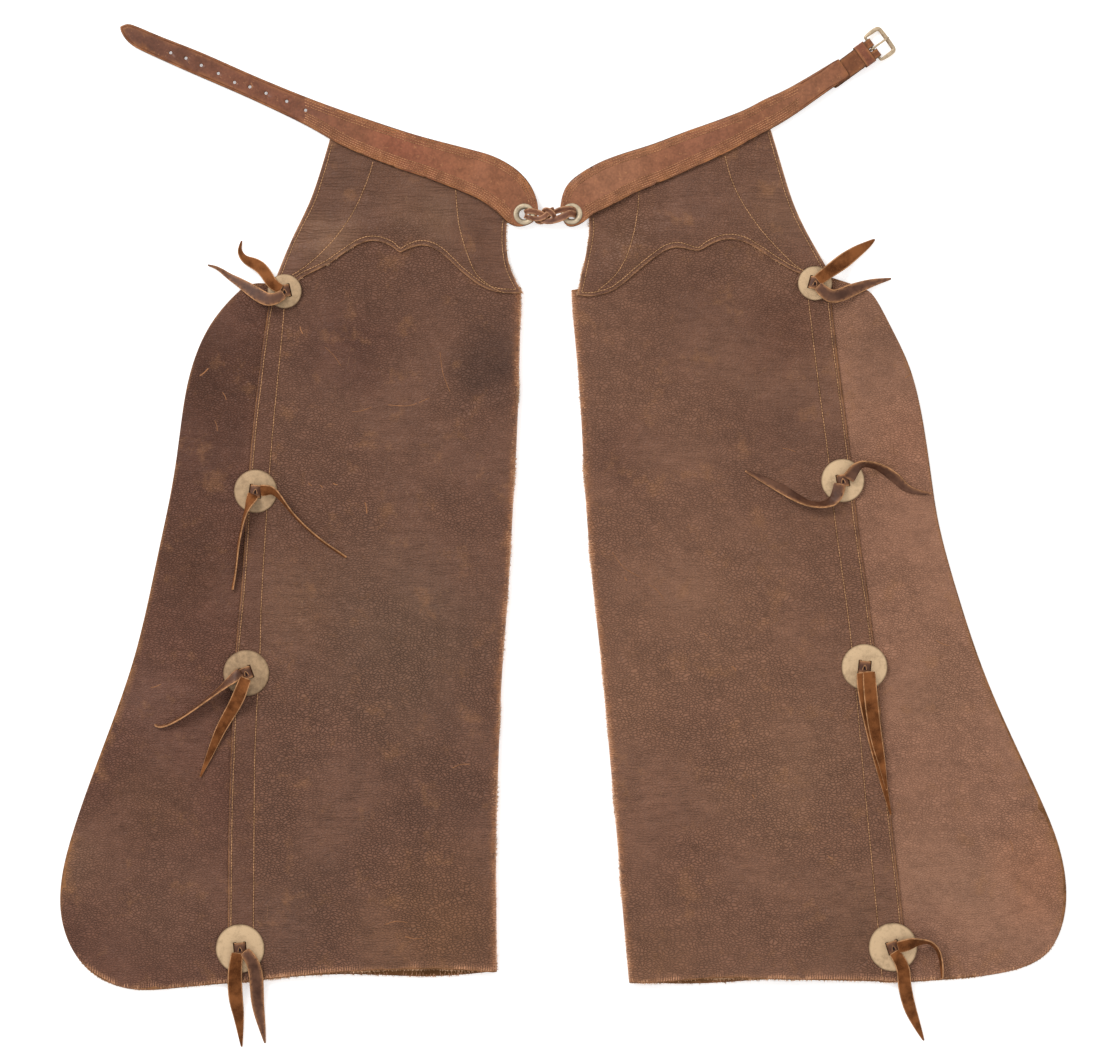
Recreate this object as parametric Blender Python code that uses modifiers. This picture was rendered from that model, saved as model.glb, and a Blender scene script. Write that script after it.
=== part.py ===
"""Batwing leather chaps laid flat on a table, seen from above with the belt at +Y.

Each leg is one panel folded at its inner edge. A wing laps under the panel's outer edge,
a yoke laps over its top, and a belt half lies over the yoke. The belt halves are laced
together in front and end in a punched strap and a buckle.
"""

import math

import bpy
from mathutils import Matrix, Vector
from mathutils.bvhtree import BVHTree

MM = 0.001

# Driving dimensions, in millimetres
LEATHER = 2.0            # wall of legs, wings and yokes
BELT = 3.2               # wall of a belt half
THONG = 1.8              # wall of the concho thongs
GAP = 0.3                # air between pieces that touch
FOLD_HEIGHT = 11.0       # outer height of a leg's rolled inner edge
LAP = 33.0               # how far a wing reaches under its leg panel
BACK_INSET = 4.4         # the back layer stops this far inside the front's cut edge
WING_FALL = 50.0         # the wing comes down to the table over this width
HEM_LIFT = 3.0           # the front hem stands this much higher near the fold
SHEET_SLOPE = 0.4        # fall of a sheet beyond what it lies on
SHEET_REACH = 44.0       # a sheet is back on the table this far from what it lies on
YOKE_LEVEL = 13.0        # a yoke stays level this far beyond what it lies on
BELT_LEVEL = 15.0        # and a belt half this far
GROMMET_LIFT = 4.6       # underside of the belt at the laced grommets
GROMMET_RISE = (25.0, 75.0)    # whole lift up to this far from a grommet, and none beyond this
BUCKLE_LIFT = 4.2        # underside of the belt where the buckle's chape tucks under it
BUCKLE_RISE = (230.0, 290.0)   # x where that lift starts and where it is whole

# Fineness of the grids and rays
DOWN_STEPS = 18          # down a leg and a wing
FOLD_STEPS = 6           # round a leg's rolled inner edge
SCALLOP_STEPS = 12       # across each of a yoke's two scallops
STATION_STEPS = 3        # between two cross lines of the belt
BELT_STEPS = 3           # across the belt
TENT_RINGS = 7           # rings and spokes of the places looked at round a point
TENT_SPOKES = 14
MERGE = 0.1              # points of a turned solid's axis closer than this are one

# Shares of the way across or down at which each sheet has a line of points
LEG_ACROSS = (0, 0.06, 0.12, 0.22, 0.34, 0.46, 0.58, 0.7, 0.82, 0.92, 1)
BACK_ACROSS = (0, 0.25, 0.5, 0.75, 1)
WING_ACROSS = (0, 0.2, 0.4, 0.58, 0.74, 0.88, 1)
WING_LAP_ACROSS = (0.5, 1.0)
YOKE_DOWN = (0, 0.25, 0.45, 0.6, 0.72, 0.83, 0.92, 1)
HEM_LIFT_FROM = 0.8      # share of the way down a leg at which its hem starts to stand up

# Heights of the middle of each leather layer
BACK_Z = LEATHER / 2
WING_LAP_Z = BACK_Z + LEATHER + GAP
FRONT_LAP_Z = WING_LAP_Z + LEATHER + GAP
FRONT_FOLD_Z = FOLD_HEIGHT - LEATHER / 2
FOLD_RADIUS = (FRONT_FOLD_Z - BACK_Z) / 2

# Outlines as (x, y) rows in millimetres, each a smooth curve through its rows.
# fold and cut run down the leg; every other edge runs from the outer side to the inner.
OUTLINES = {
    "left": {
        "fold": ((-46, 275), (-48, 194), (-51, 105), (-56, 17), (-61, -72), (-68, -161),
                 (-72, -272), (-74, -350), (-73, -485)),
        "cut": ((-323, 279), (-331, 228), (-347, 92), (-357, -61), (-364, -128), (-368, -228),
                (-371, -316), (-372, -427), (-372, -498)),
        "leg_top": ((-323, 279), (-281, 303), (-236, 332), (-208, 340), (-181, 341), (-137, 327),
                    (-92, 294), (-46, 275)),
        "hem": ((-372, -498), (-327, -493), (-259, -486), (-214, -483), (-138, -481), (-73, -485)),
        "back_top": ((-319, 261), (-248, 248), (-181, 241), (-114, 252), (-46, 275)),
        "back_hem": ((-368, -495), (-259, -485), (-192, -487), (-144, -492), (-111, -491), (-73, -485)),
        "wing_top": ((-359, 273), (-345, 281), (-327, 282)),
        "wing_side": ((-359, 273), (-380, 253), (-398, 228), (-411, 196), (-418, 172), (-424, 128),
                      (-433, 61), (-447, -6), (-477, -139), (-525, -272), (-548, -339),
                      (-559, -383), (-562, -407), (-557, -441), (-545, -467)),
        "wing_hem": ((-545, -467), (-531, -484), (-511, -498), (-492, -506), (-462, -508),
                     (-422, -504), (-372, -500)),
        "yoke_outer": ((-255, 454), (-261, 430), (-270, 403), (-282, 367), (-300, 332), (-322, 276)),
        "yoke_inner": ((-61, 363), (-63, 344), (-63, 319), (-59, 296), (-51, 279), (-45, 268)),
        "yoke_top": ((-255, 454), (-232, 440), (-176, 420), (-119, 397), (-74, 374), (-61, 363)),
        "scallop_outer": ((-322, 276), (-309, 273), (-290, 286), (-263, 299), (-235, 318),
                          (-223, 325), (-211, 327), (-199, 325), (-189, 320), (-181, 313)),
        "scallop_inner": ((-181, 313), (-173, 317), (-164, 321), (-152, 322), (-142, 318), (-130, 309),
                          (-116, 295), (-104, 285), (-90, 275), (-77, 270), (-64, 268), (-45, 268)),
    },
    "right": {
        "fold": ((9, 272), (12, 228), (19, 150), (24, 50), (32, -50), (42, -139), (52, -250),
                 (60, -339), (65, -405), (73, -497)),
        "cut": ((295, 287), (303, 211), (319, 89), (326, 17), (345, -117), (362, -294),
                (377, -422), (383, -497)),
        "leg_top": ((295, 287), (260, 307), (219, 334), (180, 345), (151, 339), (119, 332),
                    (85, 312), (52, 287), (9, 272)),
        "hem": ((383, -497), (330, -495), (233, -493), (159, -491), (105, -497), (73, -497)),
        "back_top": ((291, 272), (219, 254), (152, 245), (85, 252), (9, 272)),
        "back_hem": ((379, -494), (263, -491), (195, -492), (152, -499), (127, -502), (98, -502), (73, -497)),
        "wing_top": ((346, 268), (332, 275), (303, 284)),
        "wing_side": ((346, 268), (357, 250), (366, 228), (384, 194), (396, 150), (407, 83),
                      (416, 17), (434, -50), (455, -117), (480, -183), (541, -316), (556, -361),
                      (562, -405), (555, -443), (544, -464)),
        "wing_hem": ((544, -464), (531, -475), (507, -483), (481, -488), (448, -492), (383, -496)),
        "yoke_outer": ((228, 460), (236, 436), (245, 403), (256, 367), (273, 332), (299, 285)),
        "yoke_inner": ((28, 366), (30, 350), (29, 331), (24, 305), (16, 266)),
        "yoke_top": ((228, 460), (201, 448), (167, 432), (99, 401), (48, 379), (28, 366)),
        "scallop_outer": ((299, 285), (287, 281), (260, 291), (236, 304), (218, 316), (201, 326),
                          (188, 329), (173, 327), (162, 322), (151, 314)),
        "scallop_inner": ((151, 314), (139, 317), (126, 320), (115, 317), (103, 309), (88, 297),
                          (73, 284), (56, 271), (41, 266), (29, 264), (16, 266)),
    },
}

# Cross lines of the belt halves: upper x, upper y, lower x, lower y
BELT_STATIONS = {
    "left": (
        (-492, 565, -492, 561), (-484, 568, -487, 552), (-473, 565, -477, 543),
        (-447, 554, -457, 533), (-401, 536, -410, 512), (-340, 509, -350, 486),
        (-276, 483, -287, 456), (-226, 465, -241, 430), (-172, 447, -189, 409),
        (-140, 438, -153, 397), (-109, 430, -119, 384), (-78, 421, -94, 373),
        (-53, 407, -74, 359), (-37, 390, -62, 347), (-29, 372, -49, 342), (-27, 356, -33, 346)),
    "right": (
        (-4, 358, 2, 344), (-1, 376, 10, 342), (5, 389, 21, 346), (17, 400, 34, 356),
        (39, 413, 56, 367), (64, 423, 82, 381), (99, 434, 117, 395), (133, 447, 150, 410),
        (167, 459, 184, 426), (201, 472, 216, 443), (224, 484, 240, 456),
        (248, 495, 262, 470), (273, 509, 286, 487), (306, 529, 319, 510)),
}

# Punched holes of the strap, from its tip, and their size
STRAP_HOLES = ((-436, 536), (-419, 530), (-402, 522), (-383, 513), (-365, 503), (-348, 498),
               (-330, 491), (-307, 482), (-286, 472))
STRAP_HOLE_RADIUS = 1.9
STRAP_HOLE_SIDES = 10
HOLE_CUT_Z = 6.0         # middle and depth of what cuts the belt's holes
HOLE_CUT_DEPTH = 30.0

# Grommets: a rolled eyelet in the front end of each belt half
GROMMETS = {"left": (-43.1, 356.0), "right": (9.7, 356.3)}
GROMMET_HOLE = 5.0
GROMMET_BARREL = 6.2
GROMMET_FLANGE = 12.0
GROMMET_BACK = 10.0      # radius of the flange on the belt's underside
GROMMET_RIM = 0.8
GROMMET_BACK_RIM = 0.48
GROMMET_LIP = 0.6        # the rim's top starts this far outside the hole
GROMMET_BACK_LIP = 0.4
GROMMET_BEVEL = (1.0, 0.7)     # in from the flange's edge, and share of the rim's height there
GROMMET_SIDES = 24

# Conchos: x, y, radius, turn of the thong in degrees
CONCHOS = {
    "left": ((-308.8, 270.4, 19.0, 12.0), (-341.1, 48.6, 24.0, -8.0),
             (-351.5, -153.2, 25.5, 20.0), (-358.3, -458.9, 27.0, 5.0)),
    "right": ((279.5, 279.3, 19.0, -15.0), (310.5, 60.4, 24.0, 10.0),
              (334.6, -146.5, 25.5, -6.0), (366.3, -457.5, 27.0, 18.0)),
}
CONCHO_RISE = 2.4        # height of the dome over the rim's underside
CONCHO_PROFILE = ((0, 1), (0.5, 0.9), (0.9, 0.55), (1, 0.28), (0.96, 0))   # shares of radius and rise
CONCHO_SIDES = 22
CONCHO_RINGS = (0.5, 0.95)     # shares of the radius at which it feels for what it lies on
CONCHO_SPOKES = 16
SLOT_SPACING = 11.0      # between the two slots' middles
SLOT_WIDTH = 3.6
SLOT_LENGTH = 15.0
SLOT_CUT_DEPTH = 12.0
BAND_WIDTH = 13.6        # thong band across the bridge between the slots
BAND_FOOT = 0.4          # its ends stand this much over the concho's underside
BAND_SHOULDER = ((-0.1, 1.2), (1.6, 0.0))   # distance in from a slot's middle, depth below the crown
BAND_RISE = 0.4          # of the crown's middle
THONG_SECTIONS = 11      # along each loose end
THONG_SLOPE = 0.45       # steepest fall of a loose end
THONG_MARGIN = 1.0       # a loose end feels this far beyond its edges for what it lies on
THONG_NARROW = 0.2       # least share of its width that it covers when it stands on its edge
THONG_FEEL = (-6, 0, 6)  # along its run

# Loose thong ends: x, y, width, roll in degrees, a row for each section.
# Roll 0 lies flat and 90 stands on its edge.
THONG_ENDS = {
    "left": (
        (((-312, 272, 11, 0), (-322, 277, 13, 0), (-329, 290, 13, 0), (-335, 297, 14, 0),
          (-342, 301, 13, 0), (-351, 305, 11, 25), (-358, 311, 8, 40), (-359, 319, 4, 20), (-357, 327, 2, 0)),
         ((-309, 267, 11, 0), (-321, 260, 14, 0), (-331, 262, 15, 0), (-345, 271, 14, 0),
          (-360, 281, 10, 0), (-372, 288, 7, 0), (-384, 297, 4, 0), (-395, 300, 2, 0))),
        (((-343, 45, 13, 0), (-349, 31, 13, 60), (-354, 17, 12, 76), (-360, -11, 11, 78),
          (-363, -39, 8, 78), (-367, -61, 3, 60)),
         ((-335, 49, 13, 0), (-321, 49, 13, 50), (-309, 36, 13, 74), (-295, 18, 12, 78),
          (-268, -6, 9, 78), (-240, -25, 3, 60))),
        (((-357, -152, 12, 0), (-373, -165, 13, 55), (-394, -182, 12, 76), (-424, -203, 10, 76),
          (-444, -213, 6, 70), (-454, -211, 2, 40)),
         ((-351, -158, 13, 0), (-359, -179, 15, 6), (-366, -192, 14, 0), (-379, -214, 12, 6),
          (-391, -241, 8, 6), (-403, -269, 2, 0))),
        (((-361, -463, 13, 0), (-364, -488, 16, 0), (-363, -516, 16, 0), (-360, -538, 11, 0),
          (-357, -569, 2, 0)),
         ((-353, -461, 12, 0), (-343, -474, 15, 6), (-340, -494, 16, 0), (-339, -522, 14, 0),
          (-335, -544, 9, 0), (-331, -565, 2, 0))),
    ),
    "right": (
        (((282, 282, 13, 0), (295, 292, 15, 8), (310, 303, 17, 0), (325, 314, 14, 0),
          (339, 323, 8, 0), (347, 329, 2, 0)),
         ((282, 276, 11, 0), (294, 265, 15, 6), (305, 265, 15, 12), (321, 272, 14, 0),
          (343, 280, 9, 0), (365, 285, 2, 0))),
        (((307, 57, 14, 0), (303, 42, 14, 20), (292, 34, 14, 55), (277, 33, 14, 66),
          (261, 40, 13, 45), (244, 50, 11, 20), (221, 62, 7, 6), (202, 71, 2, 0)),
         ((316, 62, 14, 0), (326, 76, 14, 40), (339, 79, 14, 66), (353, 74, 13, 50),
          (370, 63, 12, 25), (383, 50, 8, 6), (396, 47, 5, 0), (409, 46, 2, 0))),
        (((332, -152, 14, 0), (334, -170, 16, 0), (340, -200, 16, 0), (347, -233, 14, 0),
          (355, -272, 8, 0), (364, -311, 2, 0)),
         ((339, -151, 14, 0), (340, -168, 15, 0), (343, -196, 15, 0), (348, -228, 13, 0),
          (354, -255, 8, 0), (359, -283, 2, 0))),
        (((367, -462, 12, 0), (377, -479, 15, 0), (379, -500, 15, 0), (385, -524, 14, 0),
          (393, -544, 9, 0), (401, -562, 2, 0)),
         ((371, -457, 13, 0), (384, -453, 15, 25), (393, -451, 15, 52), (406, -451, 14, 72),
          (415, -457, 14, 76), (420, -475, 13, 80), (421, -493, 8, 82))),
    ),
}

# Buckle at the right end of the belt. Its own x runs out of the strap, y across it.
BUCKLE_BAR = (344.2, 540.2)   # middle of the heel bar
BUCKLE_TURN = 35.9            # direction of the strap's end, in degrees
BAR_RADIUS = 1.5
FRAME_RADIUS = 2.2
FRAME_WIDTH = 36.0            # outer, across the strap
FRAME_REACH = 19.5            # heel bar's middle to the far bar's
FRAME_CORNER = 4.0
CHAPE_WALL = 1.8
CHAPE_WIDTH = 23.0
CHAPE_LENGTH = 60.0           # from the heel bar back under the belt
CHAPE_LOWER_BEND = (-40.0, -24.0)   # its lower layer climbs to the bar between these
CHAPE_UPPER_BEND = (-25.0, -38.0)   # its upper layer falls to the lower one between these
CHAPE_SAG = 0.7               # fall of the upper layer where it starts down
CHAPE_SHORT = 4.0             # the upper layer ends this much before the lower one
CHAPE_TURN_STEPS = 7          # round the heel bar
CHAPE_EASE = 2.0              # both layers are level this far before the keeper
CHAPE_CUT = (1.5, 12.0, 20.0)   # what cuts the tongue's slot: middle from the bar, length, depth
KEEPER_WALL = 1.4
KEEPER_SPAN = (-18.0, -5.0)   # along the strap
KEEPER_CORNER = 1.6
HEEL_PATH = ((3.0, 0.68), (1.2, 0.9))   # in from the frame's side, share of the frame's radius
FRAME_CLEAR = 0.1             # between the far bar and the table
TONGUE_RADIUS = 1.2
TONGUE_EYE = (-38.0, -232.0, 8)     # angle where the eye starts, its sweep and its steps
TONGUE_RUN = (0.2, 0.4, 0.6, 0.8, 1.0)   # shares of the way to the far bar
TONGUE_BOW = 0.5              # of the tongue between the two bars
TONGUE_TIP = (2.6, 0.3, 0.6)  # reach beyond the far bar, drop, share of the radius
SLOT_HALF = 2.2               # half the width of the tongue's slot in the chape
CHAPE_FOLD = BAR_RADIUS + GAP + CHAPE_WALL / 2
BAR_Z = KEEPER_WALL + GAP + CHAPE_WALL / 2 + CHAPE_FOLD

# Lacing through the two grommets. Its rows are a distance outward from the crossing or inward
# from a grommet's middle, then a depth below its upper run or a height over its lower run.
LACE_RADIUS = 1.6
LACE_CLEAR = 0.5              # air over the grommets
LACE_CROSSING = (-21.0, -10.0)   # x of the crossing's two ends
LACE_STEPS = 6                # along the crossing
LACE_SWING = 2.4              # how far each run swings out while they cross
LACE_SAG = 0.6                # of the crossing below the middle height
LACE_LEAVING = ((2.5, 1.6), (5.5, 0.3), (10.0, 0.0))
LACE_TURNING = ((3.6, 0.0), (1.0, 1.2), (0.0, 3.6))
LACE_COMING = ((7.0, 0.0), (3.0, 0.6))

# Colour as 0 to 255 sRGB, roughness and metallic
FINISHES = {
    "leg leather": ((116, 84, 68), 0.62, 0.0),
    "wing leather": ((122, 88, 70), 0.6, 0.0),
    "yoke leather": ((122, 90, 74), 0.6, 0.0),
    "belt leather": ((143, 95, 74), 0.5, 0.0),
    "thong leather": ((120, 76, 48), 0.7, 0.0),
    "pale brass": ((186, 155, 120), 0.42, 0.9),
    "buckle metal": ((190, 168, 140), 0.35, 0.9),
}


def smooth_step(value):
    value = min(max(value, 0.0), 1.0)
    return value * value * (3 - 2 * value)


def spline(rows, steps=10):
    """A dense Catmull-Rom curve through the rows, of any number of columns."""
    points = [Vector([float(c) for c in row]) for row in rows]
    first = points[0] * 2 - points[1]
    last = points[-1] * 2 - points[-2]
    points = [first] + points + [last]
    dense = []
    for a, b, c, d in zip(points, points[1:], points[2:], points[3:]):
        for step in range(steps):
            t = step / steps
            dense.append(0.5 * (2 * b + (c - a) * t + (2 * a - 5 * b + 4 * c - d) * t * t
                                + (3 * b - a - 3 * c + d) * t ** 3))
    dense.append(points[-2].copy())
    return dense


def along(rows, fractions):
    """Points at the given fractions of the length of the curve through the rows."""
    dense = spline(rows)
    lengths = [0.0]
    for a, b in zip(dense, dense[1:]):
        lengths.append(lengths[-1] + (b - a).length)
    found = []
    for fraction in fractions:
        goal = fraction * lengths[-1]
        index = 0
        while index < len(dense) - 2 and lengths[index + 1] < goal:
            index += 1
        part = (goal - lengths[index]) / max(lengths[index + 1] - lengths[index], 1e-9)
        found.append(dense[index].lerp(dense[index + 1], min(max(part, 0.0), 1.0)))
    return found


def even(count):
    return [index / count for index in range(count + 1)]


def snapped(points, fractions, start, end):
    """The same run of points, eased so that it starts and ends where asked."""
    head = start - points[0]
    tail = end - points[-1]
    return [p + head * (1 - f) + tail * f for p, f in zip(points, fractions)]


def coons(top, bottom, left, right, across, down):
    """Grid between four edges: rows run down, columns run across."""
    top = snapped(top, across, left[0], right[0])
    bottom = snapped(bottom, across, left[-1], right[-1])
    grid = []
    for j, v in enumerate(down):
        row = []
        for i, u in enumerate(across):
            edges = top[i] * (1 - v) + bottom[i] * v + left[j] * (1 - u) + right[j] * u
            corners = ((left[0] * (1 - u) + right[0] * u) * (1 - v)
                       + (left[-1] * (1 - u) + right[-1] * u) * v)
            row.append(edges - corners)
        grid.append(row)
    return grid


def lifted(grid, height):
    """A plan grid raised to 3-D points by height(point)."""
    return [[Vector((p.x, p.y, height(p))) for p in row] for row in grid]


def material(name):
    """A Principled material of the table above."""
    colour, roughness, metallic = FINISHES[name]
    made = bpy.data.materials.new(name)
    made.use_nodes = True
    shader = made.node_tree.nodes["Principled BSDF"]
    linear = [((c / 255 + 0.055) / 1.055) ** 2.4 for c in colour]
    shader.inputs["Base Color"].default_value = (*linear, 1.0)
    shader.inputs["Roughness"].default_value = roughness
    shader.inputs["Metallic"].default_value = metallic
    return made


def new_object(name, mesh, finish, home):
    made = bpy.data.objects.new(name, mesh)
    made.data.materials.append(finish)
    home.objects.link(made)
    return made


def sheet(name, grid, wall, finish, home):
    """An open grid of points in millimetres, given its thickness by Solidify."""
    columns = len(grid[0])
    verts = [tuple(p * MM) for row in grid for p in row]
    faces = []
    for j in range(len(grid) - 1):
        for i in range(columns - 1):
            a = j * columns + i
            faces.append((a, a + columns, a + columns + 1, a + 1))
    mesh = bpy.data.meshes.new(name)
    mesh.from_pydata(verts, [], faces)
    made = new_object(name, mesh, finish, home)
    solidify = made.modifiers.new("wall", "SOLIDIFY")
    solidify.thickness = wall * MM
    solidify.offset = 0.0
    solidify.use_even_offset = True
    return made


def tree_of(made):
    """Ray tree of an object's finished mesh, in world space."""
    graph = bpy.context.evaluated_depsgraph_get()
    finished = made.evaluated_get(graph)
    mesh = finished.to_mesh()
    verts = [made.matrix_world @ v.co for v in mesh.vertices]
    faces = [tuple(p.vertices) for p in mesh.polygons]
    finished.to_mesh_clear()
    return BVHTree.FromPolygons(verts, faces)


def top_height(x, y, trees):
    """Height in millimetres of the highest surface below a point of the plan."""
    best = 0.0
    for tree in trees:
        hit = tree.ray_cast(Vector((x * MM, y * MM, 0.5)), Vector((0, 0, -1)))[0]
        if hit is not None:
            best = max(best, hit.z / MM)
    return best


def tent(point, trees, level):
    """Lowest height over a point for a sheet that lies on the trees and falls off beyond them."""
    best = top_height(point.x, point.y, trees)
    for ring in range(1, TENT_RINGS + 1):
        radius = SHEET_REACH * ring / TENT_RINGS
        fall = SHEET_SLOPE * max(0.0, radius - level)
        for spoke in range(TENT_SPOKES):
            angle = 2 * math.pi * (spoke + 0.5 * (ring % 2)) / TENT_SPOKES
            x = point.x + radius * math.cos(angle)
            y = point.y + radius * math.sin(angle)
            best = max(best, top_height(x, y, trees) - fall)
    return best


def leg(side, finish, home):
    """Front layer, rolled inner fold and back layer as one folded sheet."""
    edge = OUTLINES[side]
    down = even(DOWN_STEPS)
    fold = along(edge["fold"], down)
    cut = along(edge["cut"], down)
    inward = [(c - f).normalized() for c, f in zip(cut, fold)]
    roll = [f + n * (FOLD_RADIUS + LEATHER / 2) for f, n in zip(fold, inward)]
    back_cut = [c - n * BACK_INSET for c, n in zip(cut, inward)]

    front = coons(along(edge["leg_top"], LEG_ACROSS), along(edge["hem"], LEG_ACROSS),
                  cut, roll, LEG_ACROSS, down)
    back = coons(along(edge["back_top"], BACK_ACROSS), along(edge["back_hem"], BACK_ACROSS),
                 back_cut, roll, BACK_ACROSS, down)

    grid = []
    for j, v in enumerate(down):
        width = (cut[j] - roll[j]).length
        row = []
        for p in front[j]:
            distance = (p - roll[j]).length
            rise = max(0.0, 1 - distance / (width - LAP))
            z = FRONT_LAP_Z + (FRONT_FOLD_Z - FRONT_LAP_Z) * math.sin(rise * math.pi / 2)
            near_fold = math.sin(math.pi * min(distance / (width - LAP), 1.0)) ** 2
            z += HEM_LIFT * near_fold * smooth_step((v - HEM_LIFT_FROM) / (1 - HEM_LIFT_FROM))
            row.append(Vector((p.x, p.y, z)))
        for step in range(1, FOLD_STEPS):
            angle = math.pi / 2 - math.pi * step / FOLD_STEPS
            turn = roll[j] - inward[j] * FOLD_RADIUS * math.cos(angle)
            row.append(Vector((turn.x, turn.y, BACK_Z + FOLD_RADIUS * (1 + math.sin(angle)))))
        row += [Vector((p.x, p.y, BACK_Z)) for p in reversed(back[j])]
        grid.append(row)
    return sheet("leg_" + side, grid, LEATHER, finish, home)


def wing(side, finish, home):
    """Outer wing, with a strip that laps under the leg's cut edge."""
    edge = OUTLINES[side]
    down = even(DOWN_STEPS)
    cut = along(edge["cut"], down)
    fold = along(edge["fold"], down)
    outer = along(edge["wing_side"], down)
    free = coons(along(edge["wing_top"], WING_ACROSS), along(edge["wing_hem"], WING_ACROSS),
                 outer, cut, WING_ACROSS, down)
    grid = []
    for j in range(len(down)):
        row = []
        for p in free[j]:
            fall = smooth_step((p - cut[j]).length / WING_FALL)
            row.append(Vector((p.x, p.y, WING_LAP_Z + (BACK_Z - WING_LAP_Z) * fall)))
        inward = (fold[j] - cut[j]).normalized()
        for share in WING_LAP_ACROSS:
            p = cut[j] + inward * LAP * share
            row.append(Vector((p.x, p.y, WING_LAP_Z)))
        grid.append(row)
    return sheet("wing_" + side, grid, LEATHER, finish, home)


def yoke(side, under, finish, home):
    """Hip yoke with two scallops, draped over the top of the leg and wing."""
    edge = OUTLINES[side]
    across = even(2 * SCALLOP_STEPS)
    outer = along(edge["yoke_outer"], YOKE_DOWN)
    inner = along(edge["yoke_inner"], YOKE_DOWN)
    bottom = along(edge["scallop_outer"], even(SCALLOP_STEPS))
    bottom += along(edge["scallop_inner"], even(SCALLOP_STEPS))[1:]
    plan = coons(along(edge["yoke_top"], across), bottom, outer, inner, across, YOKE_DOWN)

    def height(p):
        lying = tent(p, under, YOKE_LEVEL)
        return lying + LEATHER / 2 + (GAP if lying > 0 else 0.0)

    return sheet("yoke_" + side, lifted(plan, height), LEATHER, finish, home)


def belt_height(side, x):
    """Least height of the belt's underside, for the lacing and for the buckle's chape."""
    away = abs(x - GROMMETS[side][0])
    whole, none = GROMMET_RISE
    height = GROMMET_LIFT * smooth_step((none - away) / (none - whole))
    if side == "right":
        start, end = BUCKLE_RISE
        height = max(height, BUCKLE_LIFT * smooth_step((x - start) / (end - start)))
    return height


def belt(side, under, finish, home, cutters):
    """Contoured belt half, with its grommet hole and, on the left, its punched strap."""
    stations = spline(BELT_STATIONS[side], STATION_STEPS)
    heights = []
    for s in stations:
        upper = Vector((s[0], s[1]))
        lower = Vector((s[2], s[3]))
        samples = [upper.lerp(lower, share) for share in (0, 0.5, 1)]
        lying = max(tent(p, under, BELT_LEVEL) for p in samples)
        lying += GAP if lying > 0 else 0.0
        heights.append(max(lying, belt_height(side, samples[1].x)))
    grid = []
    for index, s in enumerate(stations):
        near = heights[max(0, index - 1):index + 2]
        z = max(near) + BELT / 2
        upper = Vector((s[0], s[1], z))
        lower = Vector((s[2], s[3], z))
        grid.append([upper.lerp(lower, share) for share in even(BELT_STEPS)])
    made = sheet("belt_" + side, grid, BELT, finish, home)
    holes = [(*GROMMETS[side], GROMMET_BARREL + GAP, GROMMET_SIDES)]
    if side == "left":
        holes += [(x, y, STRAP_HOLE_RADIUS, STRAP_HOLE_SIDES) for x, y in STRAP_HOLES]
    for index, (x, y, radius, sides) in enumerate(holes):
        cutter = cylinder_cutter("cut_belt_%s_%d" % (side, index), (x, y, HOLE_CUT_Z), radius,
                                 HOLE_CUT_DEPTH, sides, cutters)
        subtract(made, cutter)
    return made


def cylinder_cutter(name, centre, radius, depth, sides, cutters):
    bpy.ops.mesh.primitive_cylinder_add(vertices=sides, radius=radius * MM, depth=depth * MM,
                                        location=[c * MM for c in centre])
    return as_cutter(name, cutters)


def box_cutter(name, centre, size, turn, cutters):
    bpy.ops.mesh.primitive_cube_add(size=1, location=[c * MM for c in centre], rotation=(0, 0, turn))
    bpy.context.object.scale = [s * MM for s in size]
    bpy.ops.object.transform_apply(location=False, rotation=False, scale=True)
    return as_cutter(name, cutters)


def as_cutter(name, cutters):
    made = bpy.context.object
    made.name = name
    for home in list(made.users_collection):
        home.objects.unlink(made)
    cutters.objects.link(made)
    made.hide_render = True
    made.display_type = "WIRE"
    return made


def subtract(made, cutter):
    cut = made.modifiers.new(cutter.name, "BOOLEAN")
    cut.operation = "DIFFERENCE"
    cut.object = cutter


def turned(name, profile, steps, finish, home, location):
    """A profile of (radius, height) rows spun round Z; it runs down the outer side."""
    closed = profile[0][0] > 0
    mesh = bpy.data.meshes.new(name)
    edges = [(i, i + 1) for i in range(len(profile) - 1)]
    if closed:
        edges.append((len(profile) - 1, 0))
    mesh.from_pydata([(r * MM, 0, z * MM) for r, z in profile], edges, [])
    made = new_object(name, mesh, finish, home)
    made.location = [c * MM for c in location]
    screw = made.modifiers.new("turn", "SCREW")
    screw.steps = steps
    screw.render_steps = steps
    screw.use_merge_vertices = True
    screw.merge_threshold = MERGE * MM
    return made


def grommet(side, belt_top, finish, home):
    """Rolled eyelet: a flange on each face of the belt, joined by its barrel."""
    x, y = GROMMETS[side]
    upper = belt_top + GAP
    bottom = belt_top - BELT
    lower = bottom - GAP
    inward, height = GROMMET_BEVEL
    profile = (
        (GROMMET_HOLE + GROMMET_LIP, upper + GROMMET_RIM),
        (GROMMET_FLANGE - inward, upper + GROMMET_RIM * height),
        (GROMMET_FLANGE, upper),
        (GROMMET_BARREL, upper),
        (GROMMET_BARREL, lower),
        (GROMMET_BACK, lower),
        (GROMMET_BACK, lower - GROMMET_BACK_RIM),
        (GROMMET_HOLE + GROMMET_BACK_LIP, lower - GROMMET_BACK_RIM),
        (GROMMET_HOLE, bottom),
        (GROMMET_HOLE, belt_top + GAP / 2),
    )
    return turned("grommet_" + side, profile, GROMMET_SIDES, finish, home, (x, y, 0))


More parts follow.
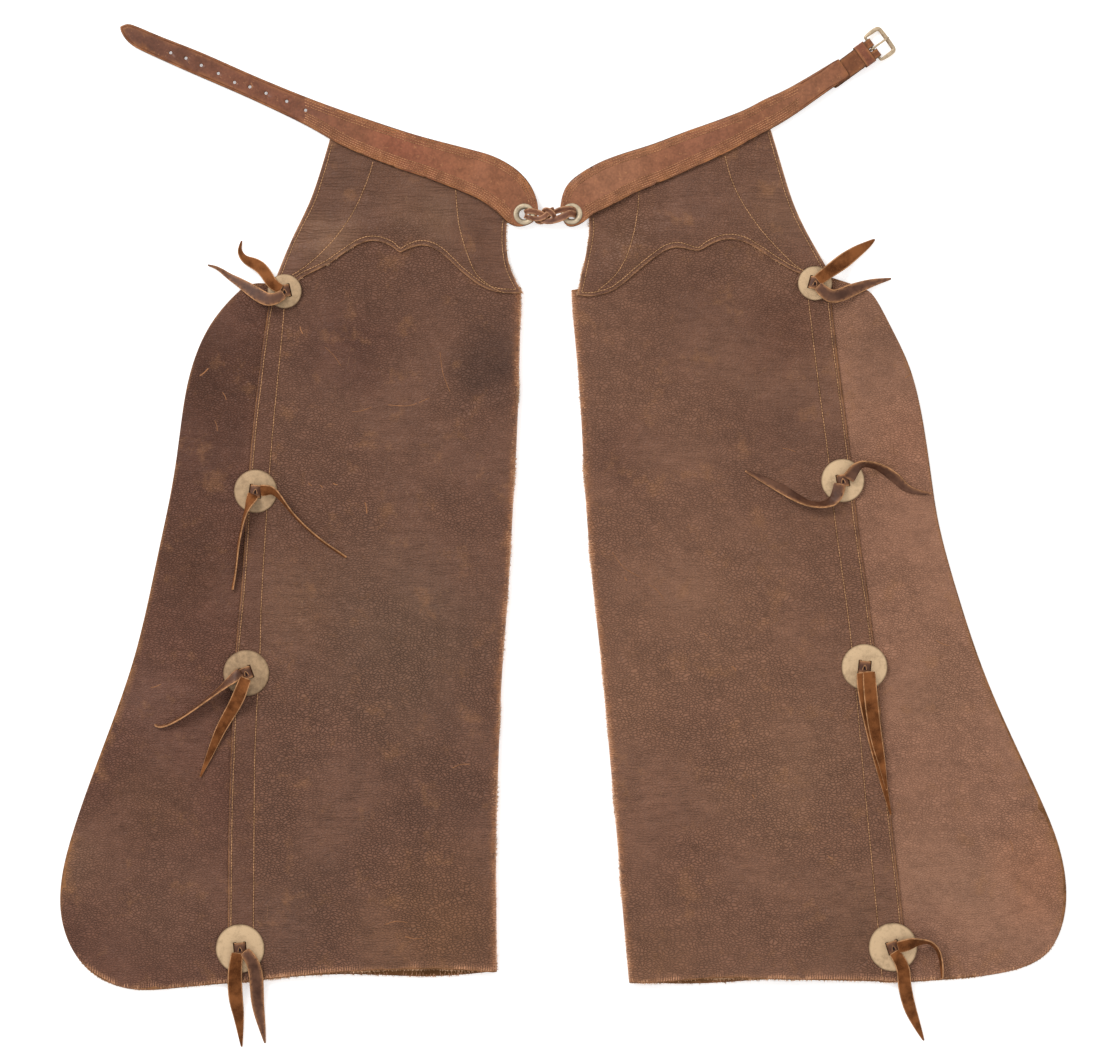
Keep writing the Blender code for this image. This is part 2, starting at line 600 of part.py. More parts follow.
def tube(name, points, radius, sides_level, finish, home, cyclic=False, scales=None):
    """A round wire along the points, in millimetres."""
    curve = bpy.data.curves.new(name, "CURVE")
    curve.dimensions = "3D"
    curve.bevel_depth = radius * MM
    curve.bevel_resolution = sides_level
    curve.use_fill_caps = not cyclic
    line = curve.splines.new("POLY")
    line.points.add(len(points) - 1)
    for index, (spot, p) in enumerate(zip(line.points, points)):
        spot.co = (*[c * MM for c in p], 1.0)
        spot.radius = scales[index] if scales else 1.0
    line.use_cyclic_u = cyclic
    return new_object(name, curve, finish, home)


def lace_side(outward, crossing_x, grommet_x, y, over, under):
    """The lacing from its crossing over one grommet, down through it and back below."""
    points = [(crossing_x + outward * away, y, over - drop) for away, drop in LACE_LEAVING]
    points += [(grommet_x - outward * away, y, over - drop) for away, drop in LACE_TURNING]
    points += [(grommet_x - outward * away, y, under + rise) for away, rise in reversed(LACE_TURNING)]
    points += [(crossing_x + outward * away, y, under + rise) for away, rise in LACE_COMING]
    return points


def lacing(belt_top, finish, home):
    """Thong ring through both grommets, its two runs crossed once between the belt halves."""
    (left_x, y), (right_x, _) = GROMMETS["left"], GROMMETS["right"]
    over = belt_top + GAP + GROMMET_RIM + LACE_CLEAR + LACE_RADIUS
    under = GAP + LACE_RADIUS
    middle = (over + under) / 2 - LACE_SAG
    start, end = LACE_CROSSING
    first = []
    second = []
    for share in even(LACE_STEPS):
        x = start + (end - start) * share
        out = LACE_SWING * math.sin(math.pi * share)
        up = LACE_SWING * math.cos(math.pi * share)
        first.append((x, y + out, middle + up))
        second.append((x, y - out, middle - up))
    right = lace_side(1, end, right_x, y, over, under)
    left = lace_side(-1, start, left_x, y, over, under)
    points = first + right[::-1] + second[::-1] + left[::-1]
    return tube("belt_lacing", points, LACE_RADIUS, 2, finish, home, cyclic=True)


def concho(side, number, under, finish, home, cutters):
    """Domed disc with two slots; it lies flat on the highest leather below it."""
    x, y, radius, turn = CONCHOS[side][number]
    turn = math.radians(turn)
    base = top_height(x, y, under)
    for ring in CONCHO_RINGS:
        for spoke in range(CONCHO_SPOKES):
            angle = 2 * math.pi * spoke / CONCHO_SPOKES
            base = max(base, top_height(x + ring * radius * math.cos(angle),
                                        y + ring * radius * math.sin(angle), under))
    base += GAP
    profile = [(radius * out, CONCHO_RISE * up) for out, up in CONCHO_PROFILE] + [(0, 0)]
    name = "concho_%s_%d" % (side, number + 1)
    made = turned(name, profile, CONCHO_SIDES, finish, home, (x, y, base))
    for sign in (-1, 1):
        reach = sign * SLOT_SPACING / 2
        centre = (x + reach * math.cos(turn), y + reach * math.sin(turn), base)
        cutter = box_cutter("cut_%s_%d" % (name, sign), centre, (SLOT_WIDTH, SLOT_LENGTH, SLOT_CUT_DEPTH),
                            turn, cutters)
        subtract(made, cutter)
    return made, base


def thong_band(side, number, base, finish, home):
    """Band of the thong over the bridge, dipping into both slots."""
    x, y, _, turn = CONCHOS[side][number]
    turn = math.radians(turn)
    half = SLOT_SPACING / 2
    crown = CONCHO_RISE + GAP + THONG / 2
    shoulder = [(half, BAND_FOOT)] + [(half - inward, crown - depth) for inward, depth in BAND_SHOULDER]
    section = [(-u, z) for u, z in shoulder] + [(0, crown + BAND_RISE)] + shoulder[::-1]
    grid = []
    for u, z in section:
        row = []
        for v in (-BAND_WIDTH / 2, 0, BAND_WIDTH / 2):
            row.append(Vector((x + u * math.cos(turn) - v * math.sin(turn),
                               y + u * math.sin(turn) + v * math.cos(turn), base + z)))
        grid.append(row)
    return sheet("thong_%s_%d_band" % (side, number + 1), grid, THONG, finish, home)


def thong_end(name, rows, under, finish, home):
    """Loose pointed end that lies on what is below it, rolled on its edge where it stands."""
    sections = along(rows, even(THONG_SECTIONS))
    runs = []
    resting = []
    for index, section in enumerate(sections):
        ahead = sections[min(index + 1, THONG_SECTIONS)]
        behind = sections[max(index - 1, 0)]
        run = Vector((ahead[0] - behind[0], ahead[1] - behind[1], 0)).normalized()
        side_way = Vector((-run.y, run.x, 0))
        spread = (section[2] / 2 + THONG_MARGIN) * max(math.cos(math.radians(section[3])), THONG_NARROW)
        lowest = 0.0
        for step in THONG_FEEL:
            for share in (-1, -0.5, 0, 0.5, 1):
                spot = Vector((section[0], section[1], 0)) + side_way * share * spread + run * step
                lowest = max(lowest, top_height(spot.x, spot.y, under))
        runs.append(side_way)
        resting.append(lowest)
    spacing = sum((Vector(a[:2]) - Vector(b[:2])).length for a, b in zip(sections, sections[1:]))
    spacing /= THONG_SECTIONS
    grid = []
    for index, (x, y, width, roll) in enumerate(sections):
        far = [abs(index - other) * spacing for other in range(len(sections))]
        lying = max(z - THONG_SLOPE * max(0.0, d - spacing) for z, d in zip(resting, far))
        angle = math.radians(roll)
        across = runs[index] * math.cos(angle) + Vector((0, 0, math.sin(angle)))
        rise = GAP + THONG / 2 * math.cos(angle) + width / 2 * math.sin(angle)
        centre = Vector((x, y, lying + rise))
        grid.append([centre - across * width / 2, centre + across * width / 2])
    return sheet(name, grid, THONG, finish, home)


def buckle_place():
    """From the buckle's own axes, in metres, to the world."""
    place = Matrix.Translation(Vector((*BUCKLE_BAR, BAR_Z)) * MM)
    return place @ Matrix.Rotation(math.radians(BUCKLE_TURN), 4, "Z")


def chape(finish, home, cutters):
    """Buckle strap folded round the heel bar, both ends tucked under the belt."""
    low = -BAR_Z + CHAPE_WALL / 2
    level = KEEPER_SPAN[0] - CHAPE_EASE
    foot, climbed = CHAPE_LOWER_BEND
    section = [(-CHAPE_LENGTH, low), (foot, low), (climbed, -CHAPE_FOLD), (level, -CHAPE_FOLD), (0, -CHAPE_FOLD)]
    for step in range(1, CHAPE_TURN_STEPS):
        angle = -math.pi / 2 + math.pi * step / CHAPE_TURN_STEPS
        section.append((CHAPE_FOLD * math.cos(angle), CHAPE_FOLD * math.sin(angle)))
    high = low + CHAPE_WALL + GAP
    leaving, lying = CHAPE_UPPER_BEND
    section += [(0, CHAPE_FOLD), (level, CHAPE_FOLD), (leaving, CHAPE_FOLD - CHAPE_SAG), (lying, high),
                (CHAPE_SHORT - CHAPE_LENGTH, high)]
    grid = []
    for x, z in section:
        grid.append([Vector((x, share * CHAPE_WIDTH / 2, z)) for share in (-1, 0, 1)])
    made = sheet("buckle_chape", grid, CHAPE_WALL, finish, home)
    made.matrix_world = buckle_place()
    middle, length, depth = CHAPE_CUT
    centre = buckle_place() @ Vector((middle * MM, 0, 0)) / MM
    cutter = box_cutter("cut_chape", centre, (length, 2 * SLOT_HALF, depth), math.radians(BUCKLE_TURN), cutters)
    subtract(made, cutter)
    return made


def keeper(finish, home):
    """Closed leather loop round both layers of the chape."""
    half = CHAPE_WIDTH / 2 + GAP + KEEPER_WALL / 2
    high = CHAPE_FOLD + CHAPE_WALL / 2 + GAP + KEEPER_WALL / 2
    ring = []
    for cx, cz, first in ((half, high, 0), (-half, high, 90), (-half, -high, 180), (half, -high, 270)):
        for step in range(3):
            angle = math.radians(first + 45 * step)
            ring.append((cx - math.copysign(KEEPER_CORNER, cx) + KEEPER_CORNER * math.cos(angle),
                         cz - math.copysign(KEEPER_CORNER, cz) + KEEPER_CORNER * math.sin(angle)))
    mesh = bpy.data.meshes.new("buckle_keeper")
    verts = []
    for x in KEEPER_SPAN:
        verts += [(x * MM, y * MM, z * MM) for y, z in ring]
    count = len(ring)
    faces = [(i, (i + 1) % count, count + (i + 1) % count, count + i) for i in range(count)]
    mesh.from_pydata(verts, [], faces)
    made = new_object("buckle_keeper", mesh, finish, home)
    solidify = made.modifiers.new("wall", "SOLIDIFY")
    solidify.thickness = KEEPER_WALL * MM
    solidify.offset = 0.0
    solidify.use_even_offset = True
    made.matrix_world = buckle_place()
    return made


def buckle_frame(finish, home):
    """Rounded frame on its thinner heel bar, resting on the table at its far bar."""
    half = FRAME_WIDTH / 2 - FRAME_RADIUS
    corner = FRAME_CORNER
    heel_corner = HEEL_PATH[1][0]
    heel = [(0, half - inward, share) for inward, share in HEEL_PATH] + [(heel_corner, half, 1.0)]
    path = [(x, -y, share) for x, y, share in heel]
    for cy, first in ((-half + corner, -90), (half - corner, 0)):
        for step in range(4):
            angle = math.radians(first + 30 * step)
            path.append((FRAME_REACH - corner + corner * math.cos(angle), cy + corner * math.sin(angle), 1.0))
    path += heel[::-1]
    tilt = math.asin((BAR_Z - FRAME_RADIUS - FRAME_CLEAR) / FRAME_REACH)
    points = [(x, y, 0) for x, y, _ in path]
    made = tube("buckle_frame", points, FRAME_RADIUS, 2, finish, home, True, [row[2] for row in path])
    made.matrix_world = buckle_place() @ Matrix.Rotation(tilt, 4, "Y")
    return made


def buckle_tongue(finish, home):
    """Wire tongue, its eye round the heel bar and its point on the far bar."""
    eye = BAR_RADIUS + GAP + TONGUE_RADIUS
    rest_z = FRAME_CLEAR + 2 * FRAME_RADIUS + GAP + TONGUE_RADIUS - BAR_Z
    start, sweep, steps = TONGUE_EYE
    points = []
    for share in even(steps):
        angle = math.radians(start + sweep * share)
        points.append((eye * math.cos(angle), 0, eye * math.sin(angle)))
    for share in TONGUE_RUN:
        bow = TONGUE_BOW * math.sin(math.pi * share)
        points.append((FRAME_REACH * share, 0, eye + (rest_z - eye) * share + bow))
    reach, drop, tip = TONGUE_TIP
    points.append((FRAME_REACH + reach, 0, rest_z - drop))
    scales = [1.0] * (len(points) - 1) + [tip]
    made = tube("buckle_tongue", points, TONGUE_RADIUS, 2, finish, home, False, scales)
    made.matrix_world = buckle_place()
    return made


def main():
    for old in list(bpy.data.objects):
        bpy.data.objects.remove(old, do_unlink=True)
    home = bpy.data.collections.new("leather_chaps")
    cutters = bpy.data.collections.new("cutters")
    bpy.context.scene.collection.children.link(home)
    bpy.context.scene.collection.children.link(cutters)

    leg_leather = material("leg leather")
    wing_leather = material("wing leather")
    yoke_leather = material("yoke leather")
    belt_leather = material("belt leather")
    thong_leather = material("thong leather")
    brass = material("pale brass")
    buckle_metal = material("buckle metal")

    grommet_top = GROMMET_LIFT + BELT
    for side in ("left", "right"):
        leg_part = leg(side, leg_leather, home)
        wing_part = wing(side, wing_leather, home)
        bpy.context.view_layer.update()
        under = [tree_of(leg_part), tree_of(wing_part)]
        yoke_part = yoke(side, under, yoke_leather, home)
        bpy.context.view_layer.update()
        under.append(tree_of(yoke_part))
        belt(side, under, belt_leather, home, cutters)
        grommet(side, grommet_top, brass, home)
        for number in range(4):
            disc, base = concho(side, number, under, brass, home, cutters)
            band = thong_band(side, number, base, thong_leather, home)
            bpy.context.view_layer.update()
            lying_on = under + [tree_of(disc), tree_of(band)]
            for letter, rows in zip("ab", THONG_ENDS[side][number]):
                name = "thong_%s_%d_end_%s" % (side, number + 1, letter)
                end = thong_end(name, rows, lying_on, thong_leather, home)
                bpy.context.view_layer.update()
                lying_on.append(tree_of(end))
    lacing(grommet_top, thong_leather, home)
    chape(belt_leather, home, cutters)
    keeper(belt_leather, home)
    buckle_frame(buckle_metal, home)
    buckle_tongue(buckle_metal, home)


main()
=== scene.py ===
import math
import random

import bmesh
import bpy
import numpy as np
from mathutils import Matrix, Vector, noise
from mathutils.bvhtree import BVHTree
from mathutils.kdtree import KDTree


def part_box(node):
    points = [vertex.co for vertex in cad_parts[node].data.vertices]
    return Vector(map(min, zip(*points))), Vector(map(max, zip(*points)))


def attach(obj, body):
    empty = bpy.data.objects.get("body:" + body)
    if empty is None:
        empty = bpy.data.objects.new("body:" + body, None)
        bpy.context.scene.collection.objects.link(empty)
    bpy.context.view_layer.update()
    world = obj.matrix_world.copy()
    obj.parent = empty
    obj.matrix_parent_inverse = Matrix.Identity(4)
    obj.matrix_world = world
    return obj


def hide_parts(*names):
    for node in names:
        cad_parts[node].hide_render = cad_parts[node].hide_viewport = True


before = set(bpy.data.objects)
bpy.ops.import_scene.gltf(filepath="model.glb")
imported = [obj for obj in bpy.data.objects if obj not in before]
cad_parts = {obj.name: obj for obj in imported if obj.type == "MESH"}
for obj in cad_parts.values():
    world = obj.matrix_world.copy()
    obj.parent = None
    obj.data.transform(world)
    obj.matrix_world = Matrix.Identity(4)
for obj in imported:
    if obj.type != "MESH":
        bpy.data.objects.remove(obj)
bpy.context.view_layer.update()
bpy.ops.object.select_all(action="DESELECT")
random.seed(11)

mm = 0.001
photo = {"metresPerPixel": 0.00111, "middleX": 563, "middleY": 535}   # of the 1100 x 1064 photograph


def fromPhoto(x, y):
    return Vector(((x - photo["middleX"]) * photo["metresPerPixel"],
                   (photo["middleY"] - y) * photo["metresPerPixel"]))


# Shader expressions
class Field:
    # one socket: its operators add Math nodes, and node() adds any other
    def __init__(self, tree, socket=None):
        self.tree = tree
        self.socket = socket

    def node(self, kind, settings=None, inputs=None, output=0):
        made = self.tree.nodes.new(kind)
        for name, setting in (settings or {}).items():
            if name == "stops":
                stops = made.color_ramp.elements
                stops.remove(stops[-1])
                for index, (place, colour) in enumerate(setting):
                    stop = stops[0] if index == 0 else stops.new(place)
                    stop.position = place
                    stop.color = colour
            else:
                setattr(made, name, setting)
        for name, value in (inputs or {}).items():
            if isinstance(value, Field):
                self.tree.links.new(value.socket, made.inputs[name])
            else:
                made.inputs[name].default_value = value
        return Field(self.tree, made.outputs[output])

    def math(self, operation, first, second=0.0):
        return self.node("ShaderNodeMath", {"operation": operation}, {0: first, 1: second})

    def __add__(self, other):
        return self.math("ADD", self, other)

    def __sub__(self, other):
        return self.math("SUBTRACT", self, other)

    def __rsub__(self, other):
        return self.math("SUBTRACT", other, self)

    def __mul__(self, other):
        return self.math("MULTIPLY", self, other)

    __radd__ = __add__
    __rmul__ = __mul__

    def between(self, low, high, start=0.0, end=1.0):
        return self.node("ShaderNodeMapRange", {"interpolation_type": "SMOOTHSTEP"},
                         {"Value": self, "From Min": low, "From Max": high, "To Min": start, "To Max": end})

    def cloud(self, scale, detail=4.0, roughness=0.5, distortion=0.0, output=0, flat=False):
        return self.node("ShaderNodeTexNoise", {"noise_dimensions": "2D" if flat else "3D"},
                         {"Vector": self, "Scale": scale, "Detail": detail, "Roughness": roughness,
                          "Distortion": distortion}, output)

    def stretched(self, scale, turn=0.0):
        return self.node("ShaderNodeMapping", None,
                         {"Vector": self, "Scale": scale, "Rotation": (0, 0, turn)})

    def cells(self, scale, feature="F1", flat=False):
        return self.node("ShaderNodeTexVoronoi",
                         {"feature": feature, "voronoi_dimensions": "2D" if flat else "3D"},
                         {"Vector": self, "Scale": scale})

    def bands(self, direction, period, distortion, detail, detailScale, roughness=0.5):
        # wavy bands a period apart in metres: at scale 1 they are 0.314 m apart
        return self.node("ShaderNodeTexWave", {"bands_direction": direction},
                         {"Vector": self, "Scale": 0.314 / period, "Distortion": distortion,
                          "Detail": detail, "Detail Scale": detailScale, "Detail Roughness": roughness})

    def warped(self, cloud, amount):
        # the place moved about by a cloud's colour
        return self.node("ShaderNodeVectorMath", {"operation": "MULTIPLY_ADD"},
                         {0: cloud, 1: (amount, amount, 0), 2: self})

    def blend(self, first, second):
        return self.node("ShaderNodeMix", {"data_type": "RGBA"}, {0: self, 6: first, 7: second}, 2)

    def brighten(self, colour):
        # a colour times this level
        grey = self.node("ShaderNodeCombineColor", None, {0: self, 1: self, 2: self})
        return self.node("ShaderNodeMix", {"data_type": "RGBA", "blend_type": "MULTIPLY"},
                         {0: 1.0, 6: colour, 7: grey}, 2)

    def attribute(self, name):
        return self.node("ShaderNodeAttribute", {"attribute_name": name}, output=2)


# How the studio light shows a dull surface: times its base colour, and sheen on top
viewValues = {"light": 0.98, "sheen": 0.016, "darkest": 0.004}


def linear(level):
    # of an sRGB level of 0 to 255
    return ((level / 255 + 0.055) / 1.055) ** 2.4 if level > 10 else level / 3295


def paint(red, green, blue):
    # the base colour of what is seen as these levels
    return tuple(max((linear(c) - viewValues["sheen"]) / viewValues["light"], viewValues["darkest"])
                 for c in (red, green, blue)) + (1.0,)


def toned(shade, factor):
    return paint(*[min(c * factor, 255) for c in shade])


def newMaterial(name, sockets):
    made = bpy.data.materials.new(name)
    made.use_nodes = True
    shader = made.node_tree.nodes["Principled BSDF"]
    for socket, value in sockets.items():
        shader.inputs[socket].default_value = value
    start = Field(made.node_tree)
    place = start.node("ShaderNodeTexCoord", output="Object")

    def plug(socket, field):
        made.node_tree.links.new(field.socket, shader.inputs[socket])

    def bump(height, strength, distance):
        plug("Normal", height.node("ShaderNodeBump", None,
                                   {"Strength": strength, "Distance": distance, "Height": height}))

    return made, place, plug, bump


# Colours as seen in the photograph, each patch as x, y, reach in pixels, colour, strength. Grain is how
# strongly the grain shows, pebble a cell's width and creases their spacing and length in metres, and
# wrinkled says where creases take over from pebbles, from a cloud's low to its high level, and how far
hideValues = {
    "legLeft": {
        "base": (114, 82, 67), "grain": 0.45, "wrinkled": (0.38, 0.7, 0.6),
        "pebble": 0.0026, "creases": (0.0029, 0.03),
        "patches": (
            (350, 300, 150, (107, 76, 62), 0.8), (492, 362, 62, (80, 60, 52), 0.8),
            (400, 640, 150, (112, 86, 70), 0.7), (300, 600, 70, (120, 87, 68), 0.6),
            (440, 790, 75, (103, 75, 62), 0.6), (440, 930, 110, (126, 90, 66), 0.7),
            (350, 350, 70, (95, 65, 55), 0.7), (330, 750, 60, (120, 87, 72), 0.6),
            (300, 900, 70, (102, 75, 62), 0.6))},
    "wingLeft": {
        "base": (109, 76, 63), "grain": 0.26, "wrinkled": (0.4, 0.7, 0.6),
        "pebble": 0.0024, "creases": (0.0028, 0.02),
        "patches": (
            (205, 370, 120, (86, 59, 48), 0.8), (190, 560, 90, (96, 67, 54), 0.7),
            (135, 700, 80, (114, 82, 70), 0.6), (70, 860, 80, (132, 98, 79), 0.7),
            (170, 900, 120, (122, 89, 73), 0.7), (150, 800, 70, (116, 84, 66), 0.5),
            (200, 450, 70, (94, 65, 54), 0.8))},
    "legRight": {
        "base": (126, 91, 73), "grain": 0.38, "wrinkled": (0.38, 0.7, 0.6),
        "pebble": 0.0026, "creases": (0.0029, 0.026),
        "patches": (
            (700, 300, 120, (108, 77, 63), 0.8), (790, 430, 110, (109, 78, 64), 0.7),
            (700, 620, 150, (133, 97, 77), 0.9), (625, 700, 60, (140, 102, 80), 0.6),
            (665, 830, 110, (123, 88, 71), 0.8), (790, 780, 110, (136, 100, 79), 0.7),
            (660, 970, 70, (128, 92, 70), 0.5), (620, 450, 60, (109, 77, 63), 0.7),
            (780, 330, 70, (106, 73, 59), 0.7), (850, 930, 70, (109, 79, 62), 0.7),
            (760, 700, 70, (132, 96, 76), 0.7))},
    "wingRight": {
        "base": (154, 112, 90), "grain": 0.19, "wrinkled": (0.4, 0.7, 0.5),
        "pebble": 0.0023, "creases": (0.0027, 0.015),
        "patches": (
            (885, 340, 80, (122, 89, 72), 0.6), (915, 440, 70, (158, 112, 89), 0.7),
            (870, 560, 70, (149, 108, 87), 0.7), (930, 690, 70, (143, 105, 84), 0.7),
            (1045, 870, 80, (163, 114, 88), 0.8), (950, 880, 100, (152, 113, 91), 0.7),
            (915, 950, 60, (134, 97, 80), 0.6))},
    "yokeLeft": {
        "rim": (196, 144, 104), "base": (109, 78, 63), "grain": 0.72, "wrinkled": (0.1, 0.55, 0.75),
        "pebble": 0.0025, "creases": (0.0034, 0.05),
        "patches": (
            (350, 185, 60, (104, 75, 61), 0.7), (330, 240, 50, (130, 98, 76), 0.6),
            (430, 210, 60, (124, 94, 75), 0.5))},
    "yokeRight": {
        "rim": (196, 144, 104), "base": (116, 83, 67), "grain": 0.78, "wrinkled": (0.15, 0.6, 0.7),
        "pebble": 0.0025, "creases": (0.0034, 0.05),
        "patches": (
            (690, 190, 70, (112, 81, 67), 0.7), (620, 250, 50, (114, 83, 65), 0.6),
            (790, 210, 60, (124, 92, 73), 0.5))},
}


def patched(place, base, patches):
    # soft uneven patches of colour over the base
    warp = 0.07   # metres
    moved = place.warped(place.cloud(11, 3, 0.55, output=1, flat=True), warp)
    colour = base
    for x, y, reach, shade, strength in patches:
        centre = fromPhoto(x, y)
        away = moved.node("ShaderNodeVectorMath", {"operation": "DISTANCE"},
                          {0: moved, 1: (centre.x + warp / 2, centre.y + warp / 2, 0)}, "Value")
        mask = away.between(0, reach * photo["metresPerPixel"], strength, 0)
        colour = mask.blend(colour, paint(*shade))
    return colour


def grainHeight(place, values):
    # fine pebbles in some places, broken wavy creases running across in others
    bent = place.warped(place.cloud(55, 1, output=1, flat=True), 0.009)
    pebbles = bent.stretched((0.58, 1.12, 1)).cells(1 / values["pebble"], "DISTANCE_TO_EDGE", True)
    pebbles = pebbles.between(0.0, 0.24) * 0.9 + place.cloud(520, 0, flat=True) * 0.4 + 0.2
    period, length = values["creases"]
    waves = place.stretched((5 * period / length, 1, 1), 0.02).bands("Y", period, 9, 2, 1.1, 0.6)
    broken = place.stretched((1 / length, 0.4 / period, 1)).cloud(1.0, 1, flat=True)
    creases = (waves.between(0.05, 0.75) - 1) * broken.between(0.3, 0.7, 0.1, 0.8) + 1.06
    low, high, most = values["wrinkled"]
    choice = place.cloud(8.5, 1, flat=True).between(low, high, 0, most)
    return choice * (creases - pebbles) + pebbles, choice


# Wear on all the hides: colours as seen, and the spacing in metres of the rays along hems and folds
wearValues = {"rubbed": (158, 112, 78), "scratch": (168, 128, 96), "fold": (170, 116, 80),
              "rays": (206, 150, 116), "worn": (226, 178, 144), "lap": (107, 75, 62), "raySpacing": 0.0027}


def cowhide(name, values):
    made, place, plug, bump = newMaterial(name, {"Specular IOR Level": 0.3})
    height, choice = grainHeight(place, values)
    colour = patched(place, paint(*values["base"]), values["patches"])
    mottle = place.cloud(34, 4, 0.62, flat=True).between(0.3, 0.7, -1, 1)
    speck = place.cloud(330, 0, flat=True).between(0.3, 0.7, -1, 1)
    high = place.node("ShaderNodeSeparateXYZ", None, {0: place}, "Y")   # the grain is fainter toward the belt
    depth = high.between(-0.15, 0.2, values["grain"] * 1.1, values["grain"] * 0.42)
    # pebble and crease tops are painted lighter (painted highlight) and the lines between them darker
    # (painted shade), with random mottle and specks of tone
    light = (height - 0.97) * depth + mottle * 0.075 + speck * 0.032 + 1
    colour = light.brighten(colour)
    rubbed = place.cloud(24, 4, 0.7, flat=True).between(0.56, 0.74) * 0.3
    colour = rubbed.blend(colour, paint(*wearValues["rubbed"]))
    scratch = place.stretched((26, 7, 20), 0.5).cloud(3, 2, 0.55, 1.2, flat=True) - 0.5
    scratch = scratch.math("ABSOLUTE", scratch).between(0.0, 0.0035, 1, 0)
    scratch = scratch * choice.between(0.1, 0.5, 0.05, 0.35)
    colour = scratch.blend(colour, paint(*wearValues["scratch"]))
    edge = place.attribute("edgeWear") * mottle.between(-1, 0.6)
    colour = (edge * 0.6).blend(colour, paint(*values.get("rim", wearValues["rubbed"])))
    fold = place.attribute("foldWear") * place.cloud(85, 3, 0.75).between(0.32, 0.62)
    colour = (fold * 0.8).blend(colour, paint(*wearValues["fold"]))
    # fine rays of cut and rubbed grain that run in from the hems and the folds
    for mask, direction, most in (("hemWear", "X", 0.9), ("foldRays", "Y", 0.7)):
        rays = place.bands(direction, wearValues["raySpacing"], 3, 1, 1.6)
        rays = rays.between(0.3, 0.8) * place.attribute(mask).between(0, 0.75)
        patchy = place.cloud(28, 3, 0.6, flat=True).between(0.42, 0.6, 0.1, most)
        colour = (rays * patchy).blend(colour, paint(*wearValues["rays"]))
    # and the pale, broken line where the hide is worn through at the outside of the folds
    worn = place.attribute("foldRays").between(0.62, 0.9) * place.cloud(330, 3, 0.6).between(0.36, 0.54)
    worn = worn * place.cloud(15, 2, 0.6, flat=True).between(0.38, 0.56, 0.2, 1)
    colour = worn.blend(colour, paint(*wearValues["worn"]))
    colour = (place.attribute("lapStrip") * 0.5).blend(colour, paint(*wearValues["lap"]))
    plug("Base Color", colour)
    plug("Roughness", height.between(0.1, 1.3, 0.68, 0.5))
    bump(height, 0.9, 0.0011)
    return made


def fleshSide(name, shade, low=0.86, high=1.1):
    # the napped inner side of the hide
    made, place, plug, bump = newMaterial(name, {"Roughness": 0.9, "Specular IOR Level": 0.15})
    nap = place.cloud(700, 5, 0.7)
    colour = place.cloud(48, 4, 0.6).between(0.34, 0.66).blend(toned(shade, low), toned(shade, high))
    plug("Base Color", (nap.between(0.45, 0.7) * 0.3).blend(colour, toned(shade, 1.3)))
    bump(nap + place.cloud(150, 3) * 0.6, 0.5, 0.0005)
    return made


def cutEdge(name, shade):
    # the raw cut through the hide, fibrous and uneven in colour
    made, place, plug, bump = newMaterial(name, {"Roughness": 0.85, "Specular IOR Level": 0.2})
    fibres = place.cloud(600, 4, 0.7)
    colour = place.cloud(90, 4, 0.7).between(0.35, 0.65).blend(toned(shade, 0.72), paint(*shade))
    plug("Base Color", (fibres.between(0.5, 0.7) * 0.5).blend(colour, toned(shade, 1.25)))
    bump(fibres, 0.6, 0.0005)
    return made


# The strap leather's colours, and the wear on it
beltValues = {"base": (135, 88, 65), "patches": (
    (140, 44, 260, (100, 66, 53), 1.0), (270, 100, 130, (118, 75, 58), 0.9),
    (470, 172, 60, (146, 94, 68), 0.8), (400, 150, 60, (138, 82, 62), 0.7),
    (610, 175, 70, (150, 103, 78), 0.8), (700, 140, 60, (142, 93, 72), 0.7),
    (800, 90, 70, (140, 94, 70), 0.8))}
chapeValues = {"base": (122, 78, 55), "patches": ()}
keeperValues = {"base": (125, 78, 60), "patches": ()}
strapWear = {"rubbed": (186, 124, 76), "nicks": (192, 138, 96), "burnished": (84, 60, 50)}


def strapHide(name, values):
    # smoother oiled strap leather, orange where the edges are rubbed
    made, place, plug, bump = newMaterial(name, {"Specular IOR Level": 0.3})
    colour = patched(place, paint(*values["base"]), values["patches"])
    mottle = place.cloud(60, 4, 0.65, flat=True).between(0.3, 0.7, -1, 1)
    speck = place.cloud(420, 0).between(0.3, 0.7, -1, 1)
    colour = (1 + mottle * 0.14 + speck * 0.09).brighten(colour)
    rub = place.attribute("edgeWear") * place.cloud(70, 4, 0.7).between(0.34, 0.62)
    colour = (rub * 0.7).blend(colour, paint(*strapWear["rubbed"]))
    nicks = place.stretched((60, 60, 20), 0.9).cloud(4, 3, 0.6, 1.0).between(0.63, 0.68) * 0.4
    colour = nicks.blend(colour, paint(*strapWear["nicks"]))
    colour = (place.attribute("burnish") * 0.7).blend(colour, paint(*strapWear["burnished"]))
    plug("Base Color", colour)
    plug("Roughness", 0.42 + mottle * 0.06 + rub * 0.15)
    bump(place.cloud(380, 3, 0.6), 0.35, 0.0005)
    return made


def thongGrain(name, dark=(74, 49, 39), light=(104, 72, 56), worn=(160, 112, 78)):
    made, place, plug, bump = newMaterial(name, {"Roughness": 0.55, "Specular IOR Level": 0.35})
    tone = place.cloud(60, 5, 0.65)
    colour = tone.between(0.3, 0.7).blend(paint(*dark), paint(*light))
    edge = place.attribute("edgeWear") * place.cloud(250, 3).between(0.3, 0.6)
    plug("Base Color", (edge * 0.75).blend(colour, paint(*worn)))
    bump(place.cloud(600, 4, 0.6), 0.4, 0.0004)
    return made


